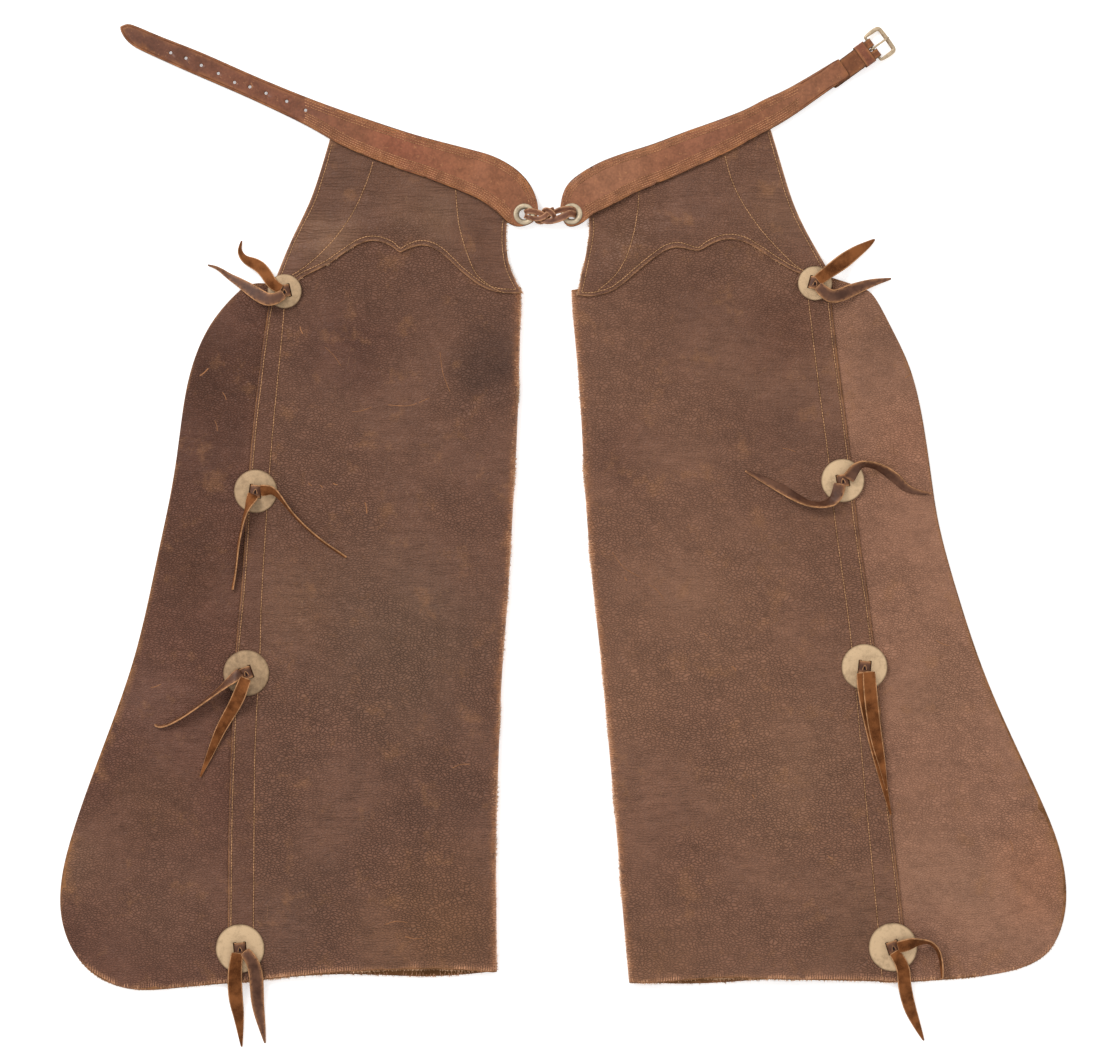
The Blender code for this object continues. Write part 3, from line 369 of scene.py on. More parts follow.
def metalFinish(name, shade, dark, roughness, metallic):
    # dull plated metal: dirt and painted shade where each piece marks them, fine scratches and pits
    made, place, plug, bump = newMaterial(name, {"Metallic": metallic})
    cloudy = place.cloud(150, 3, 0.6)
    streaks = place.stretched((300, 50, 60), 0.6).cloud(3, 3, 0.6, 0.4)
    colour = cloudy.between(0.3, 0.68).blend(toned(shade, 0.84), paint(*shade))
    polished = place.attribute("polish") * cloudy.between(0.2, 0.5, 0.6, 1)
    colour = polished.blend(colour, paint(210, 180, 143))
    # the marked places are darkened with dirt and painted shade
    rimGrimeAndShade = place.attribute("rimDirtAndShade")
    stain = place.cloud(60, 4, 0.7).between(0.48, 0.68) * 0.34
    pits = place.cells(520).between(0.05, 0.24, 1, 0) * cloudy.between(0.42, 0.6)
    dirtAndShade = rimGrimeAndShade * 0.8 + pits * 0.5 + stain
    colour = dirtAndShade.math("MINIMUM", dirtAndShade, 0.9).blend(colour, paint(*dark))
    colour = (streaks.between(0.6, 0.66) * 0.25).blend(colour, toned(shade, 1.1))
    plug("Base Color", colour)
    plug("Roughness", rimGrimeAndShade * 0.25 + cloudy * 0.1 + roughness)
    bump(cloudy + streaks * 0.4 - pits * 0.5, 0.2, 0.0003)
    return made


def threadFinish(name, shade, low=0.82):
    # linen thread, and the plain marks that lie on the leather, painted shadows of the seam grooves and of
    # the slits among them
    made, place, plug, bump = newMaterial(name, {"Roughness": 0.8, "Specular IOR Level": 0.2})
    tone = place.cloud(90, 4, 0.6).between(0.35, 0.65)
    plug("Base Color", tone.blend(toned(shade, low), paint(*shade)))
    bump(place.cloud(2200, 2), 0.4, 0.0002)
    return made


print("materials")
finishes = {name: cowhide(name + "Hide", values) for name, values in hideValues.items()}
finishes["strap"] = strapHide("strapHide", beltValues)
finishes["buckleChape"] = strapHide("chapeHide", chapeValues)
finishes["buckleKeeper"] = strapHide("keeperHide", keeperValues)
# the flesh side is set darker than bare flesh: painted shade for the hollows at the hems where it shows
finishes["flesh"] = fleshSide("shadedHideFlesh", (112, 80, 56))
finishes["thongFlesh"] = fleshSide("thongFlesh", (114, 73, 47), 0.74, 1.18)
finishes["thongGrain"] = thongGrain("thongGrain")
finishes["laceGrain"] = thongGrain("laceGrain", (84, 52, 40), (136, 90, 66), (214, 162, 124))
finishes["paleEdge"] = cutEdge("hideEdge", (146, 104, 74))
finishes["yokeEdge"] = cutEdge("yokeEdge", (190, 140, 98))
finishes["strapEdge"] = cutEdge("strapEdge", (112, 80, 60))
finishes["thongEdge"] = cutEdge("thongEdge", (190, 140, 100))
finishes["concho"] = metalFinish("conchoMetal", (178, 148, 115), (108, 84, 62), 0.46, 0.35)
finishes["grommet"] = metalFinish("grommetMetal", (212, 192, 162), (104, 90, 74), 0.42, 0.3)
finishes["buckle"] = metalFinish("buckleWire", (232, 210, 178), (128, 98, 70), 0.3, 0.5)
finishes["thread"] = threadFinish("linenThread", (202, 156, 116))
finishes["beltThread"] = threadFinish("beltThread", (204, 149, 110), 0.78)
finishes["groove"] = threadFinish("grooveShadow", (100, 70, 57))
finishes["tooling"] = threadFinish("beltTooling", (126, 82, 62))
finishes["tick"] = threadFinish("hemTick", (206, 156, 122))
finishes["shade"] = threadFinish("slitShade", (52, 34, 26))
finishes["scuff"] = threadFinish("scuffedGrain", (168, 118, 84))
finishes["fibre"] = threadFinish("looseFibre", (234, 188, 150))


# Shapes shared by the pieces
def active(piece):
    bpy.ops.object.select_all(action="DESELECT")
    piece.select_set(True)
    bpy.context.view_layer.objects.active = piece


def apply(piece, kind, settings):
    active(piece)
    made = piece.modifiers.new(kind.lower(), kind)
    for name, value in settings.items():
        setattr(made, name, value)
    bpy.ops.object.modifier_apply(modifier=made.name)


def newPiece(name, mesh, *finishNames):
    for finish in finishNames:
        mesh.materials.append(finishes[finish])
    piece = bpy.data.objects.new(name, mesh)
    bpy.context.collection.objects.link(piece)
    return piece


def settled(piece, body, nodes=()):
    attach(piece, body)
    if nodes:
        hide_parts(*nodes)
    return piece


def throughPoints(points, step, closed=False):
    # an evenly spaced smooth line through the points
    points = [Vector(p) for p in points]
    if closed:
        ring = [points[-1]] + points + points[:2]
    else:
        ring = [points[0] * 2 - points[1]] + points + [points[-1] * 2 - points[-2]]
    perSpan = 12
    dense = []
    for a, b, c, d in zip(ring, ring[1:], ring[2:], ring[3:]):
        for index in range(perSpan):
            t = index / perSpan
            dense.append(0.5 * (2 * b + (c - a) * t + (2 * a - 5 * b + 4 * c - d) * t * t
                                + (3 * b - a - 3 * c + d) * t ** 3))
    dense.append(ring[-2])
    reach = [0.0]
    for a, b in zip(dense, dense[1:]):
        reach.append(reach[-1] + (b - a).length)
    count = max(2, round(reach[-1] / step))
    line = []
    index = 0
    for number in range(count + 1):
        goal = reach[-1] * number / count
        while index < len(dense) - 2 and reach[index + 1] < goal:
            index += 1
        share = (goal - reach[index]) / max(reach[index + 1] - reach[index], 1e-9)
        line.append(dense[index].lerp(dense[index + 1], min(share, 1.0)))
    return line


def lengthOf(line):
    return sum((a - b).length for a, b in zip(line, line[1:]))


def pointTree(points):
    # finds the nearest of the points
    tree = KDTree(len(points))
    for index, p in enumerate(points):
        tree.insert(p, index)
    tree.balance()
    return tree


# Slow swells and creases of all the layers together: x1, y1, x2, y2 in the photograph,
# width and height in millimetres; a low one is a trough
landValues = {
    "base": 1.2, "swell": 1.04, "swellsPerMetre": (5.2, 4.1), "relief": 1.5, "wander": 3, "lowest": 0.05,
    "creases": (
        (300, 488, 500, 478, 9, 0.7), (436, 442, 516, 384, 6, 0.8), (352, 414, 402, 404, 6, -0.5),
        (402, 404, 436, 378, 6, -0.5), (436, 378, 450, 330, 6, -0.4), (420, 770, 470, 812, 10, 0.8),
        (410, 812, 452, 852, 5, -0.6), (380, 932, 444, 944, 5, -0.5), (280, 700, 330, 760, 16, 0.6),
        (300, 860, 380, 900, 18, 0.5), (180, 440, 232, 470, 8, 0.5), (160, 560, 225, 540, 10, 0.6),
        (120, 720, 200, 690, 10, 0.7), (90, 860, 180, 800, 16, 0.6), (140, 960, 150, 880, 12, 0.5),
        (590, 480, 740, 488, 9, 0.8), (740, 488, 826, 474, 9, 0.6), (600, 602, 850, 598, 12, 0.7),
        (612, 566, 704, 634, 4, -0.5), (640, 330, 760, 360, 9, 0.5), (690, 400, 780, 410, 10, 0.6),
        (620, 720, 660, 744, 6, 0.6), (640, 900, 720, 870, 14, 0.6), (760, 880, 830, 930, 14, 0.5),
        (880, 400, 925, 420, 7, 0.6), (880, 620, 960, 600, 10, 0.7), (890, 650, 960, 634, 8, -0.6),
        (920, 700, 1000, 740, 12, 0.6), (930, 880, 990, 860, 12, -0.6), (1000, 880, 1050, 900, 9, 0.5),
        (300, 212, 350, 218, 5, 0.7), (306, 226, 360, 232, 5, 0.6), (330, 176, 420, 190, 6, 0.6),
        (470, 240, 505, 250, 5, 0.5), (640, 200, 720, 206, 6, 0.5), (600, 240, 640, 230, 5, 0.5),
        (740, 190, 790, 200, 6, 0.5)),
}


def drape(points):
    # how far the laid garment stands over a flat one, by place
    x = points[:, 0]
    y = points[:, 1]
    acrossRate, alongRate = landValues["swellsPerMetre"]
    swell = np.array([noise.noise(Vector((a * acrossRate, b * alongRate, 2.7))) for a, b in zip(x, y)])
    rise = landValues["base"] + landValues["swell"] * swell
    for x1, y1, x2, y2, width, height in landValues["creases"]:
        start, end = fromPhoto(x1, y1), fromPhoto(x2, y2)
        run = end - start
        share = ((x - start.x) * run.x + (y - start.y) * run.y) / run.length_squared
        inside = np.clip(share, 0, 1)
        wander = landValues["wander"] * mm * np.sin(inside * 7 + x1)
        dx = x - start.x - inside * run.x - wander * run.y / run.length
        dy = y - start.y - inside * run.y + wander * run.x / run.length
        away = np.sqrt(dx * dx + dy * dy)
        fade = np.sin(np.pi * (0.12 + 0.76 * inside))   # lower toward both ends
        rise += landValues["relief"] * height * fade * np.exp(-(away / (width * mm)) ** 2)
    return np.maximum(rise, landValues["lowest"]) * mm


def landAt(x, y):
    return float(drape(np.array([[x, y, 0.0]]))[0])


def coordinates(mesh):
    flat = np.empty(len(mesh.vertices) * 3, np.float32)
    mesh.vertices.foreach_get("co", flat)
    return flat.reshape(-1, 3).astype(float)


def moveTo(piece, points):
    piece.data.vertices.foreach_set("co", points.astype(np.float32).ravel())
    piece.data.update()


def lift(piece):
    # lays a finished mesh on the swells of the garment
    points = coordinates(piece.data)
    points[:, 2] += drape(points)
    moveTo(piece, points)


def setAttribute(mesh, name, values):
    made = mesh.attributes.new(name, "FLOAT", "POINT")
    made.data.foreach_set("value", np.asarray(values, np.float32))


def mergedShell(node):
    # a CAD node's mesh with its loose triangles joined into quads where they were quads
    shell = bmesh.new()
    shell.from_mesh(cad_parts[node].data)
    bmesh.ops.remove_doubles(shell, verts=shell.verts, dist=0.00001)
    bmesh.ops.join_triangles(shell, faces=shell.faces, angle_face_threshold=0.6, angle_shape_threshold=1.2)
    return shell


def sidesOf(shell, limit):
    # faces grouped between sharp edges: grain side first, then flesh side, then the cut edge
    sharp = {e for e in shell.edges if len(e.link_faces) == 2 and e.calc_face_angle() > limit}
    group = {}
    groups = []
    for face in shell.faces:
        if face in group:
            continue
        group[face] = len(groups)
        members = [face]
        for member in members:
            for e in member.edges:
                if e in sharp:
                    continue
                for other in e.link_faces:
                    if other not in group:
                        group[other] = len(groups)
                        members.append(other)
        groups.append(members)
    areas = sorted(groups, key=lambda members: -sum(f.calc_area() for f in members))
    rank = sorted(areas[:2], key=lambda members: -sum(
        f.calc_area() * max(f.normal.z, 0) * (f.calc_center_median().z + 0.001) for f in members))
    return sharp, rank[0], rank[1]


def outlineOf(node):
    # the longest edge loop round a node's grain side
    shell = mergedShell(node)
    shell.edges.index_update()
    sharp, grain, _ = sidesOf(shell, math.radians(60))
    inside = set(grain)
    rim = [e for e in sharp if len([f for f in e.link_faces if f in inside]) == 1]
    rim.sort(key=lambda e: e.index)
    following = {}
    for e in rim:
        for v in e.verts:
            following.setdefault(v, []).append(e)
    best = []
    seen = set()
    for e in rim:
        if e in seen:
            continue
        loop = []
        v = e.verts[0]
        while e is not None and e not in seen:
            seen.add(e)
            loop.append(v.co.copy())
            v = e.other_vert(v)
            e = next((other for other in following[v] if other not in seen), None)
        if lengthOf(loop) > lengthOf(best):
            best = loop
    shell.free()
    area = sum((a.x * b.y - b.x * a.y) for a, b in zip(best, best[1:] + best[:1]))
    return best if area > 0 else best[::-1]


def leather(node, name, grain, flesh, edge, levels=3, crease=0.5, limit=60):
    # a CAD leather solid subdivided to a smooth sheet with softly rounded cut edges
    shell = mergedShell(node)
    creases = shell.edges.layers.float.new("crease_edge")
    corners = shell.verts.layers.float.new("crease_vert")
    sharp, top, bottom = sidesOf(shell, math.radians(limit))
    for face in shell.faces:
        face.material_index = 2
        face.smooth = True
    for face in top:
        face.material_index = 0
    for face in bottom:
        face.material_index = 1
    for e in sharp:
        e[creases] = crease
    for v in shell.verts:
        if len([e for e in v.link_edges if e in sharp]) > 2:
            v[corners] = 0.8
    mesh = bpy.data.meshes.new(name)
    shell.to_mesh(mesh)
    shell.free()
    piece = newPiece(name, mesh, grain, flesh, edge)
    apply(piece, "SUBSURF", {"levels": levels, "render_levels": levels, "use_creases": True})
    lift(piece)
    return piece


def nearOutline(piece, node, reach):
    # 1 at the node's outline seen from above and 0 at reach, with no heed of punched holes
    line = throughPoints([p.to_2d() for p in outlineOf(node)], 1.5 * mm, True)
    tree = pointTree([p.to_3d() for p in line])
    return [max(0.0, 1 - tree.find((v.co.x, v.co.y, 0))[2] / reach) for v in piece.data.vertices]


def nearRim(piece, reach, hemOnly=False):
    # 1 at the cut edge, falling to 0 at reach; a hem's cut edge faces down the leg
    mesh = piece.data
    rim = set()
    for polygon in mesh.polygons:
        if polygon.material_index == 2 and not (hemOnly and polygon.normal.y > -0.6):
            rim.update(polygon.vertices)
    tree = pointTree([mesh.vertices[index].co for index in sorted(rim)])
    return [max(0.0, 1 - tree.find(v.co)[2] / reach) for v in mesh.vertices]


def burnished(near, steepness, start):
    # hard and dark at the very edge, from how near it is
    return [max(0.0, share * steepness - start) for share in near]


def grainArea(piece):
    return sum(p.area for p in piece.data.polygons if p.material_index == 0)


def treeOf(piece):
    mesh = piece.data
    return BVHTree.FromPolygons([v.co for v in mesh.vertices], [tuple(p.vertices) for p in mesh.polygons])


def topOf(tree, x, y):
    return tree.ray_cast(Vector((x, y, 0.2)), Vector((0, 0, -1)))[0]


# Leg panels, wings, yokes and belt: wear is how far rubbed edges reach in, in mm
panelValues = {
    "leg": {"slot": "leg_leather", "edge": "paleEdge", "wear": 2.4,
            "flat": {"Left": (0.61, 0.84), "Right": (0.634, 0.846)}},
    "wing": {"slot": "wing_leather", "edge": "paleEdge", "wear": 2.4,
             "flat": {"Left": (0.224, 0.79), "Right": (0.214, 0.774)}},
    "yoke": {"slot": "yoke_leather", "edge": "yokeEdge", "wear": 2.0,
             "flat": {"Left": (0.282, 0.19), "Right": (0.286, 0.192)}},
    "belt": {"slot": "belt_leather", "edge": "strapEdge", "wear": 6,
             "flat": {"Left": (0.53, 0.052), "Right": (0.37, 0.052)}},
}
# The legs' lap, hem and fold: places in metres, and reaches and heights in mm
legValues = {"lapShade": {"Left": 1.0, "Right": 0.15}, "lapEnds": (-0.492, 0.262), "lapSteps": 60,
             "search": 0.015, "searchStep": 0.3, "frontHeight": 5.2, "backHeight": 5,
             "foldEnds": (-0.54, 0.27), "foldSteps": 82, "foldHeight": 5.5, "foldWear": 6, "hemWear": 8}
# Two rows of stitches down each leg panel's lap, as x, y in the photograph
lapRows = {
    "Left": (((261.5, 300), (257.5, 380), (252.8, 452), (243.9, 590), (240.5, 650), (236, 740),
              (234.6, 780), (233, 968)),
             ((284.5, 296), (282.5, 329), (271, 452), (262, 590), (260, 650), (255.3, 740),
              (254.3, 800), (253.2, 967))),
    "Right": (((828, 296), (836, 380), (845, 455), (852.5, 520), (869, 640), (884, 800),
               (898, 915), (903, 978)),
              ((808, 296), (818, 380), (828, 455), (835, 520), (851, 640), (865, 790),
               (877, 915), (882, 978))),
}


def acrossAt(row, y):
    # x of a lap row at each y, in metres
    line = sorted((fromPhoto(*point).y, fromPhoto(*point).x) for point in row)
    return np.interp(y, [p[0] for p in line], [p[1] for p in line])


def cutLine(side, tree, inset):
    # points just inside the leg panel's outer cut edge, found by rays from above
    toward = 1 if side == "Left" else -1
    line = []
    for y in np.linspace(*legValues["lapEnds"], legValues["lapSteps"]):
        x = acrossAt(lapRows[side][0], y) - toward * legValues["search"]
        for _ in range(100):
            x += toward * legValues["searchStep"] * mm
            hit = topOf(tree, x, y)
            if hit is not None and hit.z > legValues["frontHeight"] * mm:
                line.append(Vector((x + toward * inset * mm, y)))
                break
    return line


def lapStrip(side, points):
    # 1 between the two rows of stitches and 0 outside them
    outer = acrossAt(lapRows[side][0], points[:, 1])
    inner = acrossAt(lapRows[side][1], points[:, 1])
    middle = (outer + inner) / 2
    half = np.abs(outer - inner) / 2
    return np.clip((half - np.abs(points[:, 0] - middle)) / (3 * mm) + 0.5, 0, 1)


def fromFold(side, node, points):
    # how far each point is from the outermost line of a leg's rolled inner edge
    shell = mergedShell(node)
    tree = BVHTree.FromBMesh(shell)
    toward = -1 if side == "Left" else 1
    ys = np.linspace(*legValues["foldEnds"], legValues["foldSteps"])
    xs = []
    for y in ys:
        # from the gap between the legs
        hit = tree.ray_cast(Vector((-0.02, y, legValues["foldHeight"] * mm)), Vector((toward, 0, 0)))[0]
        xs.append(hit.x if hit else np.nan)
    shell.free()
    xs = np.array(xs)
    good = ~np.isnan(xs)
    return np.abs(points[:, 0] - np.interp(points[:, 1], ys[good], xs[good]))


print("leather panels")
panels = {}
for side in ("Left", "Right"):
    for part, values in panelValues.items():
        node = part + "_" + side.lower()
        name = part + side
        if part == "belt":
            piece = leather(node, name, "strap", "flesh", values["edge"], 2, 0.9)
            near = nearOutline(piece, node, values["wear"] * mm)
            setAttribute(piece.data, "burnish", burnished(near, 7, 6))
        else:
            piece = leather(node, name, name, "flesh", values["edge"])
            near = nearRim(piece, values["wear"] * mm)
        setAttribute(piece.data, "edgeWear", near)
        if part == "leg":
            points = coordinates(piece.data)
            front = points[:, 2] > legValues["backHeight"] * mm
            setAttribute(piece.data, "lapStrip", lapStrip(side, points) * front * legValues["lapShade"][side])
            away = fromFold(side, node, points) / (legValues["foldWear"] * mm)
            setAttribute(piece.data, "foldWear", np.exp(-away ** 2))
            setAttribute(piece.data, "foldRays", np.clip(1 - away, 0, 1))
        if part in ("leg", "wing"):
            setAttribute(piece.data, "hemWear", nearRim(piece, legValues["hemWear"] * mm, True))
        settled(piece, "chaps", [node])
        panels[name] = piece
trees = {name: treeOf(piece) for name, piece in panels.items()}

# Stitches, in mm: pitch and length along a row, width and height of the grooves that they lie in
stitchValues = {
    "seam": {"pitch": 3.4, "length": 3.2, "radius": 0.52},
    "belt": {"pitch": 3.0, "length": 2.95, "radius": 0.42},
    "sides": 5, "stagger": 0.14, "besideCut": 3.4, "besideYokeEdge": 4.4,
    "legGroove": 2.1, "yokeGroove": 1.9, "beltGroove": 1.3,
}


def joined(name, shapes, finish):
    # one mesh from many (vertices, faces) shapes
    verts = []
    faces = []
    for shapeVerts, shapeFaces in shapes:
        start = len(verts)
        verts += shapeVerts
        faces += [tuple(start + index for index in face) for face in shapeFaces]
    mesh = bpy.data.meshes.new(name)
    mesh.from_pydata([tuple(v) for v in verts], [], faces)
    mesh.shade_smooth()
    return newPiece(name, mesh, finish)


def marked(name, shapes, finish):
    # thin marks that lie on the leather, all facing up
    piece = joined(name, shapes, finish)
    for polygon in piece.data.polygons:
        if polygon.normal.z < 0:
            polygon.flip()
    piece.data.update()
    return settled(piece, "chaps")


def tubeFaces(rings, sides):
    faces = [tuple(range(sides))[::-1]]
    for ring in range(rings - 1):
        for index in range(sides):
            after = (index + 1) % sides
            faces.append((ring * sides + index, ring * sides + after,
                          (ring + 1) * sides + after, (ring + 1) * sides + index))
    faces.append(tuple((rings - 1) * sides + index for index in range(sides)))
    return faces


def stitch(start, end, radius):
    sides = stitchValues["sides"]
    run = end - start
    along = run.normalized()
    across = Vector((-along.y, along.x, 0)).normalized()
    up = along.cross(across) * -1
    if up.z < 0:
        up = -up
    verts = []
    # both ends are sunk and thin
    for share, height, size in ((0, -0.3, 0.6), (0.22, 0.25, 1), (0.78, 0.25, 1), (1, -0.3, 0.6)):
        centre = start + run * share + up * height * radius * 2
        for index in range(sides):
            angle = 2 * math.pi * index / sides
            verts.append(centre + (across * math.cos(angle) + up * math.sin(angle)) * radius * size)
    return verts, tubeFaces(4, sides)


def onLeather(line, tree, covers):
    # points of a plan line laid on a panel; None where something lies over it
    laid = []
    for p in line:
        hit = topOf(tree, p.x, p.y)
        if hit is not None:
            for cover in covers:
                above = topOf(cover, p.x, p.y)
                if above is not None and above.z > hit.z:
                    hit = None
                    break
        laid.append(hit)
    return laid


def sew(lines, tree, covers, pitch, length, radius):
    # a stitch between each two points of the plan lines
    threads = []
    for line in lines:
        laid = onLeather(line, tree, covers)
        for a, b in zip(laid, laid[1:]):
            if a is None or b is None or (b - a).length > pitch * mm * 1.8:
                continue
            gap = (1 - length / pitch) / 2
            side = Vector((-(b - a).y, (b - a).x, 0)).normalized()
            side *= random.uniform(-stitchValues["stagger"], stitchValues["stagger"]) * mm
            threads.append(stitch(a.lerp(b, gap) + side, a.lerp(b, 1 - gap) + side,
                                  radius * mm * random.uniform(0.86, 1.08)))
    return threads


def ribbon(line, tree, width, covers=(), lift=0.05):
    # a narrow strip that lies on the leather
    shapes = []
    laid = onLeather(line, tree, covers)
    run = []
    for index, p in enumerate(laid + [None]):
        if p is not None:
            run.append(p)
            continue
        if len(run) > 2:
            verts = []
            for k, q in enumerate(run):
                ahead = run[min(k + 1, len(run) - 1)] - run[max(k - 1, 0)]
                across = Vector((-ahead.y, ahead.x, 0)).normalized()
                thin = 0.25 if k in (0, len(run) - 1) else random.uniform(0.75, 1.1)
                for sign in (-0.5, 0.5):
                    verts.append(q + across * sign * width * mm * thin + Vector((0, 0, lift * mm)))
            faces = [(2 * k, 2 * k + 2, 2 * k + 3, 2 * k + 1) for k in range(len(run) - 1)]
            shapes.append((verts, faces))
        run = []
    return shapes


def ribbons(lines, tree, width, covers=(), lift=0.05):
    shapes = []
    for line in lines:
        shapes += ribbon(line, tree, width, covers, lift)
    return shapes


def inset(outline, distance, step, keep):
    # runs of a line parallel to a closed outline, inside it, where keep(point, outward) holds
    line = throughPoints([p.to_2d() for p in outline], step * 0.5, True)[:-1]
    tree = pointTree([p.to_3d() for p in line])
    runs = [[]]
    count = len(line)
    for index in range(count + 1):
        p = line[index % count]
        ahead = line[(index + 2) % count] - line[(index - 2) % count]
        outward = Vector((ahead.y, -ahead.x)).normalized()
        q = p - outward * distance
        if keep(q, outward) and tree.find(q.to_3d())[2] > distance * 0.96:
            runs[-1].append(q)
        elif runs[-1]:
            runs.append([])
    return [throughPoints(run, step) for run in runs if len(run) > 4]


print("stitches")
# Curved decorative rows on the yokes, as x, y in the photograph
yokeRows = {
    "Left": (((373.8, 158), (369, 174.6), (362, 192.5), (353, 212), (339, 233.6), (322.9, 251.4),
              (306.8, 265.7), (292, 275.5)),
             ((455.2, 183), (456.4, 201.4), (458.6, 222.9), (464, 244.3), (471, 263.9), (478, 276.4),
              (489, 285.4), (499.6, 291.6), (514, 294.5))),
    "Right": (((639.4, 188), (637.5, 212.3), (632.7, 237), (625, 260), (613.6, 277.3), (598, 290.7)),
              ((725, 155), (732, 179.7), (741.7, 200.8), (755, 221.8), (770.4, 241), (793.4, 264),
               (804, 271))),
}
for side in ("Left", "Right"):
    seam = stitchValues["seam"]
    pitch = seam["pitch"] * mm
    leg, wing, yoke, belt = (trees[part + side] for part in ("leg", "wing", "yoke", "belt"))
    rows = [throughPoints(cutLine(side, leg, stitchValues["besideCut"]), pitch),
            throughPoints([fromPhoto(*p) for p in lapRows[side][1]], pitch)]
    curved = [throughPoints([fromPhoto(*p) for p in row], pitch) for row in yokeRows[side]]
    curved += inset(outlineOf("yoke_" + side.lower()), stitchValues["besideYokeEdge"] * mm, pitch,
                    lambda p, out: True)
    threads = sew(rows, leg, [yoke, belt], **seam) + sew(curved, yoke, [belt], **seam)
    settled(joined("seamThread" + side, threads, "thread"), "chaps")
    # dark strips under the seam stitches: painted shadow of the grooves they lie in
    grooves = ribbons(rows, leg, stitchValues["legGroove"], [yoke, belt], 0.03)
    grooves += ribbons(curved, yoke, stitchValues["yokeGroove"], [belt], 0.03)
    marked("seamGrooveShadows" + side, grooves, "groove")

# Rows along the belt, in mm from its edge: dense along its lower edge, fewer along the upper one and round
# the front; out on the strap, past rowsEnd in x, only a creased line
beltRows = {"lower": (2.6, 5.0, 7.4, 9.8, 12.2), "upper": (3.2, 6.2, 9.0), "strap": (2.4,), "step": 3,
            "rowsEnd": {"Left": -288, "Right": 262}, "clearOfGrommet": 14, "lowerFaces": -0.35}
for side in ("Left", "Right"):
    outline = outlineOf("belt_" + side.lower())
    tree = trees["belt" + side]
    end = beltRows["rowsEnd"][side] * mm
    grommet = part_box("grommet_" + side.lower())
    middle = (grommet[0] + grommet[1]) / 2

    def onStrap(p):
        return p.x < end if side == "Left" else p.x > end

    def onPanel(p):
        near = (p - middle.to_2d()).length < beltRows["clearOfGrommet"] * mm
        return not near and not onStrap(p)

    def keepLower(p, out):
        return onPanel(p) and out.y < beltRows["lowerFaces"]

    def keepUpper(p, out):
        return onPanel(p) and out.y >= beltRows["lowerFaces"]

    lines = []
    for which, keep in (("lower", keepLower), ("upper", keepUpper), ("strap", lambda p, out: onStrap(p))):
        for distance in beltRows[which]:
            lines += inset(outline, distance * mm, beltRows["step"] * mm, keep)
    grooves = ribbons(lines, tree, stitchValues["beltGroove"], (), 0.04)
    marked("beltGrooves" + side, grooves, "tooling")
    sewn = [line for line in lines if onPanel(line[len(line) // 2])]
    threads = sew(sewn, tree, (), **stitchValues["belt"])
    settled(joined("beltThread" + side, threads, "beltThread"), "chaps")


# Loose fibres along raw hems and worn folds
def fibre(base, direction, length, radius):
    across = direction.cross(Vector((0.3, 0.2, 1))).normalized()
    other = direction.cross(across).normalized()
    sag = Vector((random.uniform(-0.3, 0.3), random.uniform(-0.3, 0.3), -0.35)) * length
    verts = []
    for share, size in ((0, 1.0), (0.55, 0.7)):
        centre = base + direction * length * share + sag * share * share
        for index in range(3):
            angle = 2 * math.pi * index / 3
            verts.append(centre + (across * math.cos(angle) + other * math.sin(angle)) * radius * size)
    verts.append(base + direction * length + sag)
    faces = [(2, 1, 0)]
    for index in range(3):
        after = (index + 1) % 3
        faces.append((index, after, 3 + after, 3 + index))
        faces.append((3 + index, 3 + after, 6))
    return verts, faces


def fray(piece, weight, count, reach, upward=0.1):
    # loose fibres that stand out of the faces that have a weight
    mesh = piece.data
    chosen = []
    weights = []
    for polygon in mesh.polygons:
        value = weight(polygon.center, polygon.normal, polygon.material_index)
        if value > 0:
            chosen.append(polygon)
            weights.append(value * polygon.area)
    shapes = []
    for polygon in random.choices(chosen, weights, k=count):
        corners = [mesh.vertices[index].co for index in polygon.vertices]
        base = corners[0].lerp(corners[1], random.random()).lerp(corners[2], random.random())
        jitter = Vector((random.gauss(0, 0.5), random.gauss(0, 0.5), random.gauss(0, 0.3) + upward))
        direction = (polygon.normal + jitter).normalized()
        length = random.uniform(*reach) * mm
        shapes.append(fibre(base - direction * 0.3 * mm, direction, length, random.uniform(0.14, 0.3) * mm))
    return [s for s in shapes if min(v.z for v in s[0]) > 0.0001]


# Pale cut fibres that run in from the hems and the worn folds, in metres and mm: where they begin and end,
# the gap between two and how far in they reach, how dense they are, and where the search for the edge goes
tickValues = {
    "legHem": {"part": "leg", "ends": (0.07, 0.37), "gap": (1.2, 3.0), "reach": (1.5, 5.5), "density": 1.8},
    "wingHem": {"part": "wing", "ends": (0.34, 0.5), "gap": (1.2, 3.0), "reach": (1.5, 5.5), "density": 1.8},
    "legFold": {"part": "leg", "ends": (-0.5, 0.25), "gap": (1.0, 2.8), "reach": (1.5, 6.0), "density": 1.9},
    "hemSearch": (-0.52, 0.06), "foldSearch": (0.0, 0.09), "searchStep": 0.4,
    "lean": 0.3, "width": (0.5, 1.0),
}
# Count and length in mm of the loose fibres along each edge
fibreValues = {"legHem": (1100, (1.0, 3.4)), "yokeEdge": (420, (1.0, 3.0)),
               "legFold": (2600, (1.0, 3.2)), "wingHem": (380, (0.8, 2.2))}


